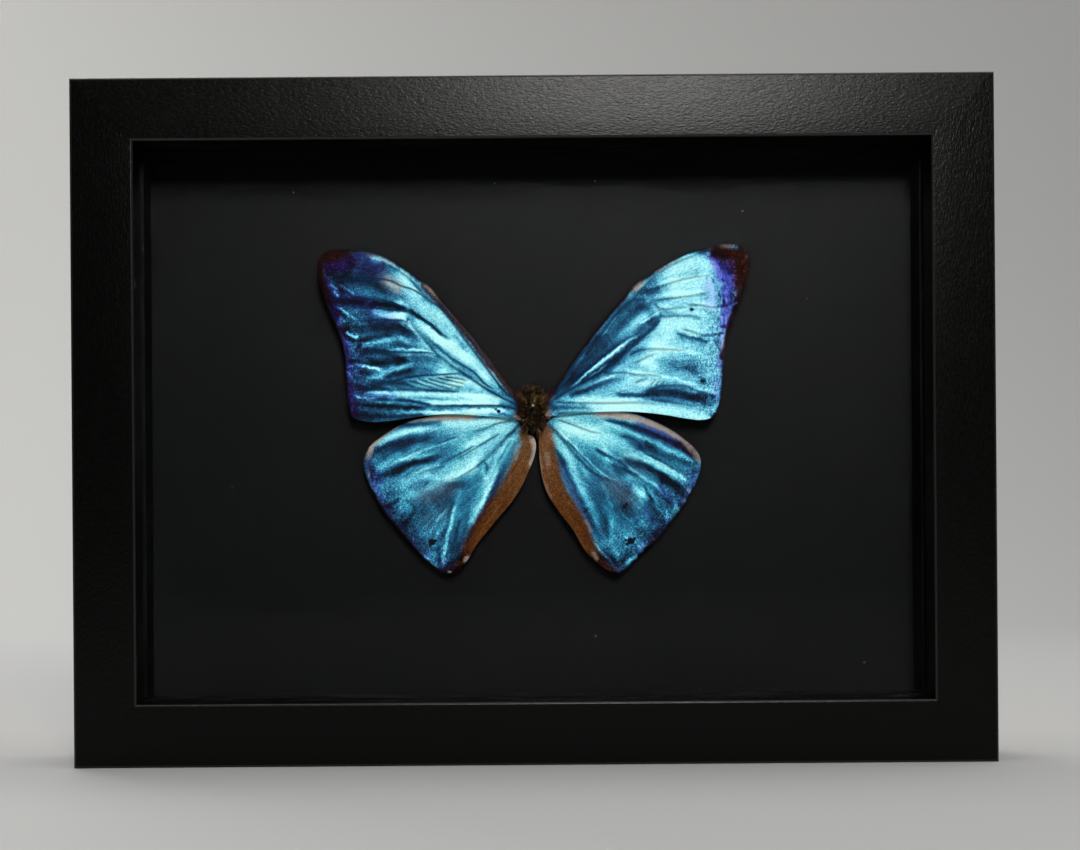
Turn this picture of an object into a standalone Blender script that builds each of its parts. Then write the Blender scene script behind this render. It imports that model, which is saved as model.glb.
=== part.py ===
"""A pinned blue butterfly in a deep box frame.

Metres, +Z up. The frame stands on its bottom rail and faces -Y. The origin is the middle
of the footprint. Depths are counted backwards (+Y) from the front face of the moulding.
"""

import math

import bmesh
import bpy
from mathutils import Vector

MM = 0.001
GAP = 0.3 * MM  # left between pieces that touch
CUT_MARGIN = 1 * MM  # how far a cutter stands out of what it cuts
WELD = 0.002 * MM  # points of an outline closer than this are one
TURN_WELD = 0.01 * MM  # the same, on the axis of a turned piece
ROUND_STEPS = 24  # around a hole or a turned piece

# The moulding: an L section, whose lip holds the glass
FRAME_WIDTH = 197 * MM
FRAME_HEIGHT = 147 * MM
FRAME_DEPTH = 33 * MM
FACE_WIDTH = 13.5 * MM
LIP_OVERLAP = 5 * MM
LIP_DEPTH = 10 * MM
EDGE_RADIUS = 0.6 * MM
BACK_EDGE_RADIUS = 0.3 * MM
EDGE_STEPS = 3

# The stack in the rebate, front to back
GLASS_THICKNESS = 2 * MM
SPACER_DEPTH = 10.1 * MM
SPACER_THICKNESS = 5.1 * MM
BOARD_THICKNESS = 3 * MM
PANEL_THICKNESS = 3 * MM

# Flat points pressed into the rails, which hold the stack in
TAB_LENGTH = 13 * MM
TAB_WIDTH = 6 * MM
TAB_THICKNESS = 0.5 * MM
TAB_BURIED = 6 * MM
TAB_SPREAD = 52 * MM
TAB_NOSE_STEPS = 8

# The sawtooth hanger on the back panel
HANGER_LENGTH = 46 * MM
HANGER_FOOT = 10 * MM
HANGER_BEND = 2 * MM
HANGER_WIDTH = 9 * MM
HANGER_THICKNESS = 0.8 * MM
HANGER_RAISE = 1.2 * MM
HANGER_DROP = 24 * MM  # from the frame's top to the hanger's middle
TOOTH_PITCH = 2.6 * MM
TOOTH_HEIGHT = 1.7 * MM
TOOTH_COUNT = 7
RIVET_SPACING = 36 * MM
RIVET_RADIUS = 1.1 * MM
RIVET_HEAD_RADIUS = 2.2 * MM
RIVET_HEAD_HEIGHT = 0.9 * MM
RIVET_DOME_STEPS = 5
RIVET_REACH = 2.2 * MM  # into the panel

# The specimen
BODY_HEIGHT = 76.7 * MM  # the thorax's middle, above the frame's foot
BODY_DEPTH = 18 * MM
THORAX_RADII = (2.8 * MM, 2.9 * MM, 3.7 * MM)
THORAX_DROP = 1.3 * MM
HEAD_RADII = (2.9 * MM, 2.1 * MM, 1.5 * MM)
HEAD_RISE = 4.2 * MM
BODY_SEGMENTS = 28
BODY_RINGS = 18
WING_THICKNESS = 0.4 * MM
FOREWING_DEPTH = 17.3 * MM
HINDWING_DEPTH = 18.1 * MM
WING_RESOLUTION = 4  # curve steps between two outline points
PIN_RADIUS = 0.25 * MM
PIN_HEAD_RADIUS = 0.45 * MM
PIN_HEAD_DEPTH = 13.7 * MM
PIN_TIP_DEPTH = 25.4 * MM
PIN_POINT_LENGTH = 1.2 * MM
PIN_RISE = 0.7 * MM  # above the thorax's own height
PIN_STEPS = 16
PIN_BALL_STEPS = 8

# Plain finishes: colour, roughness, metallic, alpha
FOIL = ((0.012, 0.012, 0.011), 0.38, 0.0, 1.0)
GLASS = ((0.9, 0.95, 0.93), 0.02, 0.0, 0.15)
CARD = ((0.010, 0.010, 0.011), 0.85, 0.0, 1.0)
FIBREBOARD = ((0.22, 0.13, 0.07), 0.7, 0.0, 1.0)
STEEL = ((0.55, 0.54, 0.52), 0.35, 1.0, 1.0)
BRASS = ((0.62, 0.46, 0.20), 0.35, 1.0, 1.0)
HAIR = ((0.045, 0.030, 0.014), 0.8, 0.0, 1.0)
SCALES = ((0.03, 0.25, 0.55), 0.35, 0.8, 1.0)

# Wing outlines, in mm from the thorax's middle, (across, up): from the root along the
# front edge to the tip, down the outer edge, and back along the inner edge.
FOREWING_LEFT = (
    (-3.3, 2.4), (-7.1, 8.1), (-10.6, 13.3), (-16.5, 20.4), (-20.0, 24.6), (-23.3, 27.9),
    (-27.9, 31.1), (-33.2, 34.2), (-37.4, 35.3), (-41.3, 35.6), (-45.1, 35.3), (-46.9, 33.2),
    (-46.9, 29.5), (-45.8, 25.3), (-43.9, 20.6), (-41.8, 14.7), (-41.0, 6.7), (-40.5, 1.4),
    (-39.6, -1.2), (-37.2, -2.2), (-31.7, -2.2), (-27.3, -1.6), (-20.6, -0.9), (-16.2, -0.9),
    (-11.8, -1.2), (-7.4, -1.5), (-5.2, -1.8), (-3.7, -2.0), (-3.3, -0.9), (-3.2, 0.6),
)
FOREWING_RIGHT = (
    (3.4, 2.4), (7.7, 9.0), (14.8, 18.2), (19.7, 24.1), (22.6, 27.2), (26.8, 30.0),
    (32.4, 33.1), (38.8, 35.6), (42.5, 36.1), (46.1, 35.7), (47.8, 34.0), (48.2, 31.6),
    (48.0, 28.8), (46.4, 24.6), (45.1, 21.1), (43.3, 16.4), (42.1, 9.6), (41.7, 4.3),
    (41.2, 0.8), (40.0, -1.6), (37.7, -2.5), (34.5, -2.3), (28.7, -1.3), (21.7, -0.6),
    (13.6, -0.6), (8.5, -0.9), (5.8, -1.2), (4.1, -1.5), (3.4, -1.2), (3.2, 0.6),
)
HINDWING_LEFT = (
    (-3.1, -2.5), (-6.0, -0.9), (-11.0, 0.1), (-16.0, -0.1), (-22.8, -1.3), (-28.6, -2.9),
    (-33.1, -5.5), (-36.1, -7.9), (-37.3, -10.3), (-37.1, -13.8), (-35.1, -18.3),
    (-32.4, -22.9), (-28.8, -27.4), (-25.1, -31.6), (-21.8, -34.5), (-20.0, -35.8),
    (-17.7, -35.6), (-15.0, -33.5), (-12.7, -29.9), (-8.2, -24.3), (-3.8, -18.9),
    (-1.0, -13.5), (0.6, -9.1), (0.6, -6.9), (0.0, -5.8), (-1.2, -5.3), (-2.3, -4.3),
)
HINDWING_RIGHT = (
    (3.4, -2.6), (6.1, -1.0), (10.3, 0.0), (15.5, 0.3), (20.8, -0.6), (25.3, -2.0),
    (29.9, -4.2), (33.6, -6.8), (36.4, -9.5), (37.2, -12.0), (35.5, -17.7), (32.6, -22.3),
    (29.5, -26.5), (25.0, -30.9), (21.3, -34.6), (19.0, -36.0), (16.4, -35.5),
    (13.7, -33.4), (11.4, -31.1), (9.0, -26.8), (5.2, -21.7), (2.8, -17.5), (1.6, -11.9),
    (1.4, -7.9), (1.4, -6.3), (1.7, -5.2), (2.4, -4.2),
)

FRONT = -FRAME_DEPTH / 2
WALL = FACE_WIDTH - LIP_OVERLAP
REBATE_WIDTH = FRAME_WIDTH - 2 * WALL
REBATE_HEIGHT = FRAME_HEIGHT - 2 * WALL
MIDDLE = FRAME_HEIGHT / 2
GLASS_DEPTH = LIP_DEPTH + GAP
SPACER_FRONT = GLASS_DEPTH + GLASS_THICKNESS + GAP
BOARD_DEPTH = SPACER_FRONT + SPACER_DEPTH + GAP
PANEL_DEPTH = BOARD_DEPTH + BOARD_THICKNESS + GAP
PANEL_BACK = PANEL_DEPTH + PANEL_THICKNESS
TAB_DEPTH = PANEL_BACK + GAP


def clear_scene():
    for obj in list(bpy.data.objects):
        bpy.data.objects.remove(obj, do_unlink=True)


def new_collection(name, hidden=False):
    collection = bpy.data.collections.new(name)
    bpy.context.scene.collection.children.link(collection)
    collection.hide_render = hidden
    return collection


def principled(name, finish):
    """A plain material, named after its piece."""
    colour, roughness, metallic, alpha = finish
    material = bpy.data.materials.new(name)
    material.use_nodes = True
    shader = material.node_tree.nodes["Principled BSDF"]
    shader.inputs["Base Color"].default_value = (*colour, 1)
    shader.inputs["Roughness"].default_value = roughness
    shader.inputs["Metallic"].default_value = metallic
    shader.inputs["Alpha"].default_value = alpha
    return material


def place(name, mesh, collection, location=(0, 0, 0), turn=0.0, finish=None):
    """Links a mesh as an object, turned about Y by this angle."""
    obj = bpy.data.objects.new(name, mesh)
    obj.location = location
    obj.rotation_euler = (0, turn, 0)
    collection.objects.link(obj)
    if finish:
        mesh.materials.append(principled(name, finish))
    return obj


def block(name, size, centre, collection, finish=None):
    mesh = bpy.data.meshes.new(name)
    shape = bmesh.new()
    bmesh.ops.create_cube(shape, size=1)
    bmesh.ops.scale(shape, vec=Vector(size), verts=shape.verts)
    shape.to_mesh(mesh)
    shape.free()
    return place(name, mesh, collection, centre, finish=finish)


def ellipsoid(name, radii, centre, finish):
    mesh = bpy.data.meshes.new(name)
    shape = bmesh.new()
    bmesh.ops.create_uvsphere(shape, u_segments=BODY_SEGMENTS, v_segments=BODY_RINGS, radius=1)
    bmesh.ops.scale(shape, vec=Vector(radii), verts=shape.verts)
    shape.to_mesh(mesh)
    shape.free()
    mesh.shade_smooth()
    return place(name, mesh, parts, centre, finish=finish)


def flat_outline(name, points, half_thickness, smooth=False):
    """A closed outline in the XY plane with thickness along Z, as a mesh whose caps are welded on."""
    curve = bpy.data.curves.new(name, "CURVE")
    curve.dimensions = "2D"
    curve.fill_mode = "BOTH"
    curve.extrude = half_thickness
    curve.resolution_u = WING_RESOLUTION
    spline = curve.splines.new("BEZIER" if smooth else "POLY")
    if smooth:
        spline.bezier_points.add(len(points) - 1)
        for point, (x, y) in zip(spline.bezier_points, points):
            point.co = (x, y, 0)
            point.handle_left_type = point.handle_right_type = "AUTO"
    else:
        spline.points.add(len(points) - 1)
        for point, (x, y) in zip(spline.points, points):
            point.co = (x, y, 0, 1)
    spline.use_cyclic_u = True
    guide = bpy.data.objects.new(name, curve)
    bpy.context.scene.collection.objects.link(guide)
    bpy.context.view_layer.update()
    graph = bpy.context.evaluated_depsgraph_get()
    mesh = bpy.data.meshes.new_from_object(guide.evaluated_get(graph))
    bpy.data.objects.remove(guide, do_unlink=True)
    shape = bmesh.new()
    shape.from_mesh(mesh)
    bmesh.ops.remove_doubles(shape, verts=shape.verts, dist=WELD)
    bmesh.ops.recalc_face_normals(shape, faces=shape.faces)
    shape.to_mesh(mesh)
    shape.free()
    mesh.materials.clear()
    mesh.name = name
    return mesh


def stand_up(mesh):
    """Turns an outline from the XY plane into the XZ plane, with its thickness along Y."""
    for vertex in mesh.vertices:
        x, y, z = vertex.co
        vertex.co = (x, -z, y)


def turned(name, profile, location, finish, steps=ROUND_STEPS):
    """A profile of (radius, depth) points, front to back, turned about an axis along +Y."""
    mesh = bpy.data.meshes.new(name)
    mesh.from_pydata([(radius, depth, 0) for radius, depth in reversed(profile)],
                     [(i, i + 1) for i in range(len(profile) - 1)], [])
    obj = place(name, mesh, parts, location, finish=finish)
    screw = obj.modifiers.new("Turn", "SCREW")
    screw.axis = "Y"
    screw.steps = screw.render_steps = steps
    screw.use_merge_vertices = True
    screw.merge_threshold = TURN_WELD
    return obj


def drill(name, radius, start, end, x, z):
    """A cutter: a round rod along Y from one depth to another."""
    mesh = bpy.data.meshes.new(name)
    shape = bmesh.new()
    bmesh.ops.create_cone(shape, cap_ends=True, segments=ROUND_STEPS, radius1=radius, radius2=radius,
                          depth=end - start)
    shape.to_mesh(mesh)
    shape.free()
    obj = place(name, mesh, cutters, (x, FRONT + (start + end) / 2, z))
    obj.rotation_euler = (math.radians(90), 0, 0)
    return obj


def cut(obj, cutter):
    cutter.hide_render = True
    cutter.display_type = "WIRE"
    boolean = obj.modifiers.new("Cut " + cutter.name, "BOOLEAN")
    boolean.operation = "DIFFERENCE"
    boolean.object = cutter


def rounded_corner(x, y, from_x, from_y, radius):
    """A quarter round in place of the corner at x, y, with its centre towards from_x, from_y."""
    centre_x, centre_y = x + radius * from_x, y + radius * from_y
    start = math.atan2(-from_y, 0)
    end = math.atan2(0, -from_x)
    if abs(end - start) > math.pi:
        end -= math.copysign(2 * math.pi, end - start)
    return [
        (centre_x + radius * math.cos(start + (end - start) * i / EDGE_STEPS),
         centre_y + radius * math.sin(start + (end - start) * i / EDGE_STEPS))
        for i in range(EDGE_STEPS + 1)
    ]


def moulding_section():
    """The rail's section: x inwards from the outer side, y backwards from the front face."""
    front_outer = rounded_corner(0, 0, 1, 1, EDGE_RADIUS)
    front_inner = rounded_corner(FACE_WIDTH, 0, -1, 1, EDGE_RADIUS)
    back_outer = rounded_corner(0, FRAME_DEPTH, 1, -1, BACK_EDGE_RADIUS)
    return (
        front_outer[::-1] + front_inner
        + [(FACE_WIDTH, LIP_DEPTH), (WALL, LIP_DEPTH), (WALL, FRAME_DEPTH)] + back_outer
    )


def make_rail(name, length, location, turn):
    """One rail, its ends mitred so that each runs half a gap short of the corner's diagonal."""
    mesh = flat_outline(name, moulding_section(), length / 2)
    for vertex in mesh.vertices:
        inwards = vertex.co.x + GAP / math.sqrt(2)
        vertex.co.z -= math.copysign(inwards, vertex.co.z)
    return place(name, mesh, parts, location, turn, FOIL)


def make_frame():
    """The four rails. Each turn about Y takes the section's x to the way into the frame."""
    half = FRAME_WIDTH / 2
    return {
        "left": make_rail("rail_left", FRAME_HEIGHT, (-half, FRONT, MIDDLE), 0),
        "top": make_rail("rail_top", FRAME_WIDTH, (0, FRONT, FRAME_HEIGHT), math.pi / 2),
        "right": make_rail("rail_right", FRAME_HEIGHT, (half, FRONT, MIDDLE), math.pi),
        "bottom": make_rail("rail_bottom", FRAME_WIDTH, (0, FRONT, 0), -math.pi / 2),
    }


def make_sheet(name, depth, thickness, finish):
    """A pane or board that fills the rebate."""
    size = (REBATE_WIDTH - 2 * GAP, thickness, REBATE_HEIGHT - 2 * GAP)
    return block(name, size, (0, FRONT + depth + thickness / 2, MIDDLE), parts, finish)


def make_spacers():
    """Four strips on edge that hold the glass off the board. The side strips stand between the others."""
    y = FRONT + SPACER_FRONT + SPACER_DEPTH / 2
    long = (REBATE_WIDTH - 2 * GAP, SPACER_DEPTH, SPACER_THICKNESS)
    rise = (REBATE_HEIGHT - SPACER_THICKNESS) / 2 - GAP
    short = (SPACER_THICKNESS, SPACER_DEPTH, REBATE_HEIGHT - 2 * SPACER_THICKNESS - 4 * GAP)
    across = (REBATE_WIDTH - SPACER_THICKNESS) / 2 - GAP
    for name, sign in (("top", 1), ("bottom", -1)):
        block("spacer_" + name, long, (0, y, MIDDLE + sign * rise), parts, CARD)
    for name, sign in (("left", -1), ("right", 1)):
        block("spacer_" + name, short, (sign * across, y, MIDDLE), parts, CARD)


def tab_outline():
    """A flat point with a straight buried end and a rounded free end, along +X from the rail's wall."""
    free = TAB_LENGTH - TAB_BURIED
    half = TAB_WIDTH / 2
    nose = [(free - half + half * math.sin(a), half * math.cos(a))
            for a in (math.pi * i / TAB_NOSE_STEPS for i in range(TAB_NOSE_STEPS + 1))]
    return [(-TAB_BURIED, half)] + nose + [(-TAB_BURIED, -half)]


def make_tabs(rails):
    """Six points, two in each long rail and one in each short one, each in its own slot."""
    inner_x = REBATE_WIDTH / 2
    inner_z = REBATE_HEIGHT / 2
    places = [
        ("top_left", "top", -TAB_SPREAD, MIDDLE + inner_z, math.pi / 2),
        ("top_right", "top", TAB_SPREAD, MIDDLE + inner_z, math.pi / 2),
        ("right", "right", inner_x, MIDDLE, math.pi),
        ("bottom_right", "bottom", TAB_SPREAD, MIDDLE - inner_z, -math.pi / 2),
        ("bottom_left", "bottom", -TAB_SPREAD, MIDDLE - inner_z, -math.pi / 2),
        ("left", "left", -inner_x, MIDDLE, 0),
    ]
    y = FRONT + TAB_DEPTH + TAB_THICKNESS / 2
    slot_depth = TAB_BURIED + GAP
    slot_size = (slot_depth + CUT_MARGIN, TAB_THICKNESS + 2 * GAP, TAB_WIDTH + 2 * GAP)
    for name, side, x, z, turn in places:
        mesh = flat_outline("tab_" + name, tab_outline(), TAB_THICKNESS / 2)
        stand_up(mesh)
        place("tab_" + name, mesh, parts, (x, y, z), turn, STEEL)
        slot = block("slot_" + name, slot_size, (x, y, z), cutters)
        for vertex in slot.data.vertices:
            vertex.co.x += (CUT_MARGIN - slot_depth) / 2
        slot.rotation_euler = (0, turn, 0)
        cut(rails[side], slot)


def hanger_section():
    """The bent strip from its edge, x along it and y backwards: flat feet and a raised middle."""
    half = HANGER_LENGTH / 2
    foot = half - HANGER_FOOT
    shoulder = foot - HANGER_BEND
    near = [(-half, 0), (-foot, 0), (-shoulder, HANGER_RAISE), (shoulder, HANGER_RAISE), (foot, 0), (half, 0)]
    return near + [(x, y + HANGER_THICKNESS) for x, y in reversed(near)]


def tooth_outline():
    """The saw edge's cutter, x across and y up: it takes the lower edge away between the teeth."""
    left = -TOOTH_COUNT * TOOTH_PITCH / 2
    foot = -HANGER_WIDTH / 2
    edge = []
    for i in range(TOOTH_COUNT):
        edge += [(left + i * TOOTH_PITCH, foot), (left + (i + 0.5) * TOOTH_PITCH, foot + TOOTH_HEIGHT)]
    edge.append((-left, foot))
    return [(left, foot - CUT_MARGIN)] + edge + [(-left, foot - CUT_MARGIN)]


def make_hanger(panel):
    """The sawtooth strip and its two domed rivets, whose shanks go into the panel."""
    z = FRAME_HEIGHT - HANGER_DROP
    y = FRONT + PANEL_BACK + GAP
    strip_mesh = flat_outline("hanger", hanger_section(), HANGER_WIDTH / 2)
    strip = place("hanger", strip_mesh, parts, (0, y, z), finish=BRASS)
    teeth_mesh = flat_outline("hanger_teeth", tooth_outline(), 2 * HANGER_RAISE + HANGER_THICKNESS)
    stand_up(teeth_mesh)
    cut(strip, place("hanger_teeth", teeth_mesh, cutters, (0, y, z)))
    strip_back = PANEL_BACK + GAP + HANGER_THICKNESS
    for name, sign in (("left", -1), ("right", 1)):
        x = sign * RIVET_SPACING / 2
        # The name is as seen from the front, like every other left and right.
        hole = RIVET_RADIUS + GAP
        hole_end = PANEL_BACK - RIVET_REACH - GAP
        cut(strip, drill("hanger_hole_" + name, hole, PANEL_BACK, strip_back + CUT_MARGIN, x, z))
        cut(panel, drill("panel_hole_" + name, hole, hole_end, PANEL_BACK + CUT_MARGIN, x, z))
        under_head = strip_back + GAP
        dome = [
            (RIVET_HEAD_RADIUS * math.cos(a), under_head + RIVET_HEAD_HEIGHT * math.sin(a))
            for a in (math.pi / 2 * i / RIVET_DOME_STEPS for i in range(RIVET_DOME_STEPS))
        ]
        profile = [(0, PANEL_BACK - RIVET_REACH), (RIVET_RADIUS, PANEL_BACK - RIVET_REACH),
                   (RIVET_RADIUS, under_head)] + dome + [(0, under_head + RIVET_HEAD_HEIGHT)]
        turned("rivet_" + name, profile, (x, FRONT, z), BRASS)


def make_wing(name, outline, depth):
    mesh = flat_outline(name, [(x * MM, z * MM) for x, z in outline], WING_THICKNESS / 2, smooth=True)
    stand_up(mesh)
    return place(name, mesh, parts, (0, FRONT + depth, BODY_HEIGHT), finish=SCALES)


def make_butterfly(board):
    """Head, thorax and four wings, held by one pin that goes through the thorax into the board."""
    y = FRONT + BODY_DEPTH
    ellipsoid("head", HEAD_RADII, (0, y, BODY_HEIGHT + HEAD_RISE), HAIR)
    thorax = ellipsoid("thorax", THORAX_RADII, (0, y, BODY_HEIGHT - THORAX_DROP), HAIR)
    make_wing("forewing_left", FOREWING_LEFT, FOREWING_DEPTH)
    make_wing("forewing_right", FOREWING_RIGHT, FOREWING_DEPTH)
    make_wing("hindwing_left", HINDWING_LEFT, HINDWING_DEPTH)
    make_wing("hindwing_right", HINDWING_RIGHT, HINDWING_DEPTH)

    pin_z = BODY_HEIGHT + PIN_RISE
    hole = PIN_RADIUS + GAP
    board_back = BOARD_DEPTH + BOARD_THICKNESS
    cut(thorax, drill("thorax_hole", hole, PIN_HEAD_DEPTH, BOARD_DEPTH, 0, pin_z))
    cut(board, drill("board_hole", hole, BOARD_DEPTH - CUT_MARGIN, board_back + CUT_MARGIN, 0, pin_z))
    turned("specimen_pin", pin_profile(), (0, FRONT, pin_z), STEEL, PIN_STEPS)


def pin_profile():
    """The pin from its ball head to its point."""
    join = math.asin(PIN_RADIUS / PIN_HEAD_RADIUS)
    ball = [
        (PIN_HEAD_RADIUS * math.sin(a), PIN_HEAD_DEPTH - PIN_HEAD_RADIUS * math.cos(a))
        for a in ((math.pi - join) * i / PIN_BALL_STEPS for i in range(PIN_BALL_STEPS + 1))
    ]
    return ball + [(PIN_RADIUS, PIN_TIP_DEPTH - PIN_POINT_LENGTH), (0, PIN_TIP_DEPTH)]


def make_all():
    rails = make_frame()
    make_sheet("glass_pane", GLASS_DEPTH, GLASS_THICKNESS, GLASS)
    make_spacers()
    board = make_sheet("mount_board", BOARD_DEPTH, BOARD_THICKNESS, CARD)
    panel = make_sheet("back_panel", PANEL_DEPTH, PANEL_THICKNESS, FIBREBOARD)
    make_tabs(rails)
    make_hanger(panel)
    make_butterfly(board)


clear_scene()
parts = new_collection("framed_butterfly")
cutters = new_collection("cutters", hidden=True)
make_all()
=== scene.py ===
"""The looks of a pinned blue butterfly in a deep black box frame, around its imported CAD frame.

Everything is in metres, +Z up, with the front towards -Y. The wing tables are in millimetres
from the middle of the thorax.
"""

import math

import bmesh
import bpy
import numpy as np
from bpy.props import FloatProperty, FloatVectorProperty, IntProperty, PointerProperty
from mathutils import Matrix, Vector


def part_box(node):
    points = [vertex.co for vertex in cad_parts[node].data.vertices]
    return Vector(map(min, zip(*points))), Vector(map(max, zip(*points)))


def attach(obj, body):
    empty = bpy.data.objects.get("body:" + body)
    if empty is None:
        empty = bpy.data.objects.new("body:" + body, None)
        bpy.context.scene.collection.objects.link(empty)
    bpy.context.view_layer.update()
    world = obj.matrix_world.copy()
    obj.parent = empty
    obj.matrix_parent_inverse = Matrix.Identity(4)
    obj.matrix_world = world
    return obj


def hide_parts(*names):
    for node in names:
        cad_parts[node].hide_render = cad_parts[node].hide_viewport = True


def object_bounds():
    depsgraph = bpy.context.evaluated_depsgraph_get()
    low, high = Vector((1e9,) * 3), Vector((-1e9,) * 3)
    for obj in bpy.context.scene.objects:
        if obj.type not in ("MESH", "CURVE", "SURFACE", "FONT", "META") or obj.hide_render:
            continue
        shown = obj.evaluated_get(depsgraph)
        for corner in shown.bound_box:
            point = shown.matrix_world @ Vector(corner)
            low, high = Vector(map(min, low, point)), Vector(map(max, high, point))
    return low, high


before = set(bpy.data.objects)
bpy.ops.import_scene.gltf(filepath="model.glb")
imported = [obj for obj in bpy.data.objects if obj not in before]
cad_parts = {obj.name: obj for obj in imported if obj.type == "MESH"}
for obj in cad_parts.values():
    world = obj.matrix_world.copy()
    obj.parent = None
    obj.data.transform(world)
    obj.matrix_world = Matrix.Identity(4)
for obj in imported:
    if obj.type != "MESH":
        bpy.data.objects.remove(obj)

bl_info = {
    "name": "Framed Butterfly",
    "version": (1, 0, 0),
    "blender": (4, 5, 0),
    "location": "3D View > Sidebar > Butterfly",
    "description": "Models the looks of a pinned butterfly in a box frame",
    "category": "Object",
}

MM = 0.001
GAP = 0.3 * MM  # between neighbouring pieces, as in the CAD

# ---------------------------------------------------------------- the frame's places
CAD_BOX = [list(corner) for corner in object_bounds()]
LOW, HIGH = (Vector(corner) for corner in CAD_BOX)
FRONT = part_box("rail_top")[0].y
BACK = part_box("rail_top")[1].y
MIDDLE = (LOW.z + HIGH.z) / 2
FACE_WIDTH = HIGH.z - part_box("rail_top")[0].z
LIP_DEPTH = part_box("glass_pane")[0].y - GAP - FRONT
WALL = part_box("glass_pane")[0].x - GAP - LOW.x
THORAX_BELOW = 5.0 * MM  # of the thorax, under the wing tables' zero
BODY = Vector((0, 0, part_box("thorax")[0].z + THORAX_BELOW))

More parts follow.
